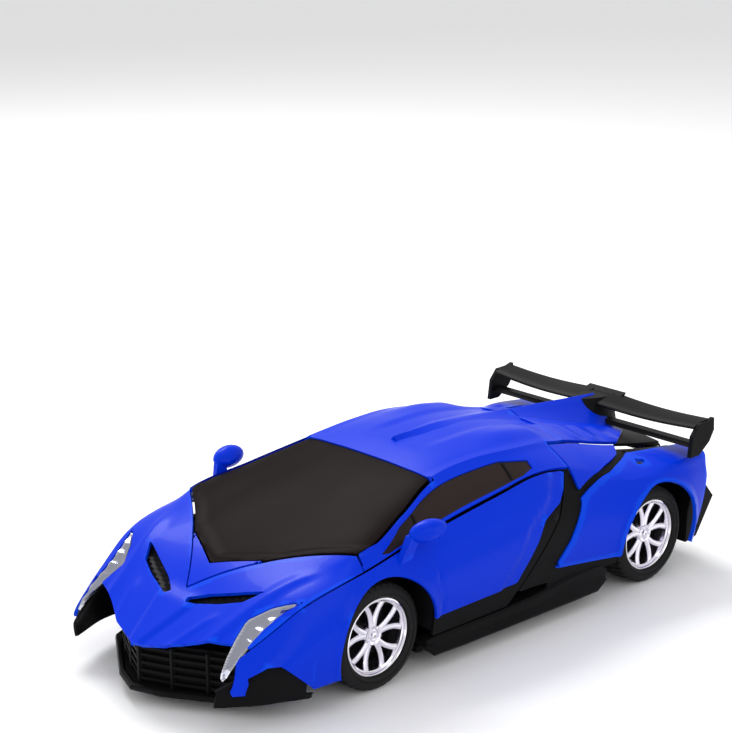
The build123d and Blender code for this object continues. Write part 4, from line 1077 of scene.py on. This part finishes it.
def turned(profile, y0, side, steps=96, ripple=None):
    # a closed (x, r) profile carried round the axle; ripple(x, r, angle) adds to the radius
    profile = np.asarray(profile, float)
    a = np.linspace(0, 2 * np.pi, steps, endpoint=False)
    gridX, gridAngle = np.broadcast_arrays(profile[None, :, 0], a[:, None])
    gridR = np.broadcast_to(profile[None, :, 1], gridX.shape)
    if ripple is not None:
        gridR = gridR + ripple(gridX, gridR, gridAngle)
    points = np.stack([side * gridX, y0 + gridR * np.cos(gridAngle), axleZ + gridR * np.sin(gridAngle)], -1)
    n, m = gridX.shape
    index = np.arange(n * m).reshape(n, m)
    index = np.concatenate([index, index[:1]], 0)
    index = np.concatenate([index, index[:, :1]], 1)
    faces = np.stack([index[:-1, :-1], index[1:, :-1], index[1:, 1:], index[:-1, 1:]], -1).reshape(-1, 4)
    return points.reshape(-1, 3), faces.tolist()


def tyreSolid(y0, side):
    # tread blocks staggered across a crowned tread, ridged side walls, and a bead at the rim
    i, o, r, bead = wheel["innerX"], wheel["outerX"], wheel["radius"], wheel["rim"] + 0.05
    tread = [(x, r - 0.5 * ((x - (i + o) / 2) / 7.0) ** 4 * 0.9) for x in np.linspace(i + 1.6, o - 1.6, 18)]
    wall = [(o - 0.6, r - 1.5), (o - 0.1, r - 2.6), (o, r - 3.3), (o - 0.35, r - 3.5), (o - 0.3, r - 3.9),
            (o - 0.1, r - 4.1), (o - 0.4, r - 4.6), (o - 1.2, bead), (o - 3.0, bead)]
    back = [(i + o - x, q) for x, q in wall[::-1]]

    def blocks(gridX, gridR, gridAngle):
        across = (gridX - (i + o) / 2) / 6.0
        groove = np.abs(np.sin(0.5 * wheel["treadBlocks"] * gridAngle + 1.6 * np.abs(across))) < 0.26
        rib = np.abs(np.abs(across) - 0.42) < 0.08
        return -wheel["treadDepth"] * (groove | rib) * (gridR > r - 1.2)

    return turned(tread + wall + back, y0, side, 240, blocks)


def dishSolid(y0, side):
    # the dark backing behind the spokes, with a brake drum's step in it
    i, r = wheel["innerX"] + 1.0, wheel["rim"]
    dish = [(i + 4.6, 1.0), (i + 4.6, r - 1.9), (i + 8.0, r - 2.5), (i + 6.2, r - 3.4), (i + 7.4, 8.5),
            (i + 7.4, 4.2), (i + 6.2, 1.0)]
    return turned(dish, y0, side, 64)


def rimSolid(y0, side):
    # a stepped lip and barrel, and five pairs of spokes that part towards the lip and dish towards the hub
    i, o, r = wheel["innerX"] + 1.0, wheel["outerX"] - 1.4, wheel["rim"]
    barrel = [(i, r), (o - 0.6, r), (o, r - 0.25), (o + 0.15, r - 0.8), (o - 0.3, r - 1.3),
              (o - 1.0, r - 1.5), (o - 1.3, r - 2.0), (o - 2.2, r - 2.2), (o - 7.0, r - 2.6), (i, r - 1.6)]
    parts = [turned(barrel, y0, side)]
    face = o - 1.9
    hub = [(i + 1, 0.4), (i + 1, wheel["hub"]), (face - 0.6, wheel["hub"]), (face, wheel["hub"] - 0.5),
           (face - 0.2, 2.4), (face - 0.8, 2.2), (face - 0.7, 1.6), (face + 0.1, 1.2), (face + 0.3, 0.3)]
    parts.append(turned(hub, y0, side, 64))
    u = np.linspace(0, 1, 14)[:, None]
    b = np.linspace(0, 2 * np.pi, 12, endpoint=False)[None]
    for k in range(wheel["spokes"]):
        for hand in (-1, 1):
            radius = wheel["hub"] - 0.9 + (r - 1.2 - wheel["hub"] + 0.9) * u
            apart = np.radians(7.5 + wheel["spread"] * u ** 1.6)
            turn = 2 * np.pi * k / wheel["spokes"] + np.pi / 2 + hand * apart
            half = 1.35 - 0.2 * np.sin(np.pi * u)
            flattened = np.abs(np.cos(b)) ** 0.6 * np.sign(np.cos(b))
            deep = np.abs(np.sin(b)) ** 0.6 * np.sign(np.sin(b))
            x = face - 1.6 + 1.0 * u ** 2 + 1.3 * deep * (1 - 0.15 * u)
            across = half * flattened
            y = y0 + radius * np.cos(turn) - across * np.sin(turn)
            z = axleZ + radius * np.sin(turn) + across * np.cos(turn)
            parts.append(tubeOf(np.stack([side * (x + 0 * y), y, z], -1)))
    for k in range(wheel["spokes"]):
        a = 2 * np.pi * (k + 0.5) / wheel["spokes"] + np.pi / 2
        nut = [(face - 1.2, 0.1), (face - 1.2, 0.55), (face + 0.1, 0.5), (face + 0.25, 0.1)]
        p, f = turned(nut, 0, side, 12)
        parts.append((p + (0, y0 + 2.9 * math.cos(a), 2.9 * math.sin(a)), f))
    return joined(*parts)


for end, axle in (("front", frontAxleY), ("rear", rearAxleY)):
    for side, word in ((1, "left"), (-1, "right")):
        body = f"{end}_wheel_{word}"
        addPiece(f"{end}_tyre_tread_{word}", *tyreSolid(axle, side), "tyreRubber", body,
                 [f"{end}_tyre_{word}"], "tyre_rubber", sharp=28)
        addPiece(f"{end}_wheel_rim_{word}", *rimSolid(axle, side), "chromePlate", body,
                 [f"{end}_rim_{word}"], "chrome_rim", sharp=40)
        addPiece(f"{end}_wheel_dish_{word}", *dishSolid(axle, side), "blackMoulding", body,
                 slot="black_plastic")
print("wheels")


# robot pieces, which face down or lie inside while the toy is a car
def steppedPlates(outlines, levels):
    # a ring at every level, each outline smaller than the last, so the face rises in facets
    return tubeOf([[(x, y, z) for x, y in outline] for outline, z in zip(outlines, levels)])


def shield(half, back, waist, point):
    # a five-cornered outline: straight at the back, pointed at y = back + point
    return [(-half, back), (half, back), (half, back + waist), (0, back + point), (-half, back + waist)]


robot = dict(
    headFront=-87.4,
    headFoot=13.0,
    chestY=-20.0,
    chestLevels=[20.5, 17.9, 17.3, 15.1, 14.5, 11.2, 11.0],
    eye=[(1.2, 11.9), (7.2, 12.6), (7.4, 14.6), (4.6, 14.0), (1.4, 12.9)],
    band=[(-8.3, 6.0), (-8.3, 4.2), (0, 2.0), (8.3, 4.2), (8.3, 6.0)],
    crest=[(2.6, 15.6), (1.6, 18.5), (3.4, 22.5), (9.0, 26.8), (9.0, 24.0), (5.0, 20.0)],
    ear=[(5, 9), (12, 9), (14, 15), (11, 21), (6, 17)],
)
shields = [shield(12.6, robot["chestY"], 7.8, 20.0), shield(12.2, robot["chestY"], 7.8, 19.4),
           shield(10.4, robot["chestY"] + 0.8, 6.6, 17.0), shield(9.4, robot["chestY"] + 0.8, 6.4, 15.8),
           shield(7.6, robot["chestY"] + 1.4, 5.4, 13.8), shield(5.0, robot["chestY"] + 2.0, 4.0, 13.0),
           shield(4.4, robot["chestY"] + 2.4, 3.4, 12.0)]
chestParts = [steppedPlates(shields, robot["chestLevels"])]
for side in (1, -1):
    chestParts.append(prism([(side * 6.4, robot["chestY"] + 0.6), (side * 11.6, robot["chestY"] + 0.6),
                             (side * 11.6, robot["chestY"] + 5.0)], 15.0, 17.6, "z"))
addPiece("chest_shield", *joined(*chestParts), "silverPaint", "body", ["chest_insert"], "silver_plastic",
         sharp=20, bevel=0.18)


def maskSolid():
    # a plain mask: cheeks that taper to the chin, a ridge down the middle and three breathing slots
    z = np.linspace(0, 11, 23)
    half = 5.5 + 2.7 * z / 11
    nose = 1.0 - 0.6 * z / 11
    slot = 0.45 * ((z % 2.6) < 0.8) * (z < 8) * (z > 1)
    ridgeHalf = 0.8 + 0 * z
    x = np.stack([half, half, 0.55 * half, ridgeHalf], 1)
    y = robot["headFront"] + np.stack([6 + 0 * z, 3 + 0 * z, 2 + slot, nose + slot], 1)
    x, y = np.concatenate([-x, x[:, ::-1]], 1), np.concatenate([y, y[:, ::-1]], 1)
    return tubeOf(np.stack([x, y, robot["headFoot"] + z[:, None] + 0 * x], -1))


def eyeSlit(side):
    # a slanted slit, higher at its outer end, whose face follows the band behind it
    front, foot = robot["headFront"], robot["headFoot"]
    return tubeOf([[(side * x, front + depth + 0.26 * x, foot + z) for x, z in robot["eye"]]
                   for depth in (1.3, 3.4)])


front, foot = robot["headFront"], robot["headFoot"]
band = [(x, front + y) for x, y in robot["band"]]
crest = [(front + y, foot + z) for y, z in robot["crest"]]
ear = [(front + y, foot + z) for y, z in robot["ear"]]
addPiece("face_mask", *maskSolid(), "silverPaint", "head", ["face_plate"], "silver_plastic", sharp=22,
         bevel=0.1)
addPiece("eye_band", *prism(band, foot + 11, foot + 15.8, "z"), "screenBlack", "head", ["visor"],
         "black_plastic")
addPiece("eye_slits", *joined(eyeSlit(1), eyeSlit(-1)), "magentaLens", "head", slot="magenta_lens")
crestParts = [prism(crest, -1.7, 1.7, "x"), prism(ear, 11.0, 13.1, "x"), prism(ear, -11.0, -13.1, "x")]
addPiece("helmet_crest", *joined(*crestParts), "silverPaint", "head", slot="silver_plastic", bevel=0.25)
print("robot pieces")


# every CAD node that still shows, under the finish that it takes
nodeFinish = dict(
    blackFrame=["chassis_tray", "drive_housing", "tail_bracket", "torso_frame", "battery_box",
                "battery_cover", "nose_frame", "arm_frame_left", "arm_frame_right"],
    blackMoulding=["power_switch"],
    blueShell=["boot_left", "boot_right", "chest_plate", "waist_armour"],
    silverPaint=["hip_plate", "thighs"],
    screenBlack=["speaker", "helmet"],
    pinSteel=["base_screws", "stand_pin", "tail_pin", "fold_pin", "drive_motors", "transform_motor",
              "rear_shaft_left", "rear_shaft_right"],
    cellSleeve=["battery_cells"],
    boardGreen=["circuit_board"],
)
for material, names in nodeFinish.items():
    for name in names:
        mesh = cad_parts[name].data
        mesh.materials.clear()
        mesh.materials.append(finishes[material])
        mesh.polygons.foreach_set("material_index", np.zeros(len(mesh.polygons), dtype=np.int32))
print("carried-over nodes:", sum(1 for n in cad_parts.values() if not n.hide_render))
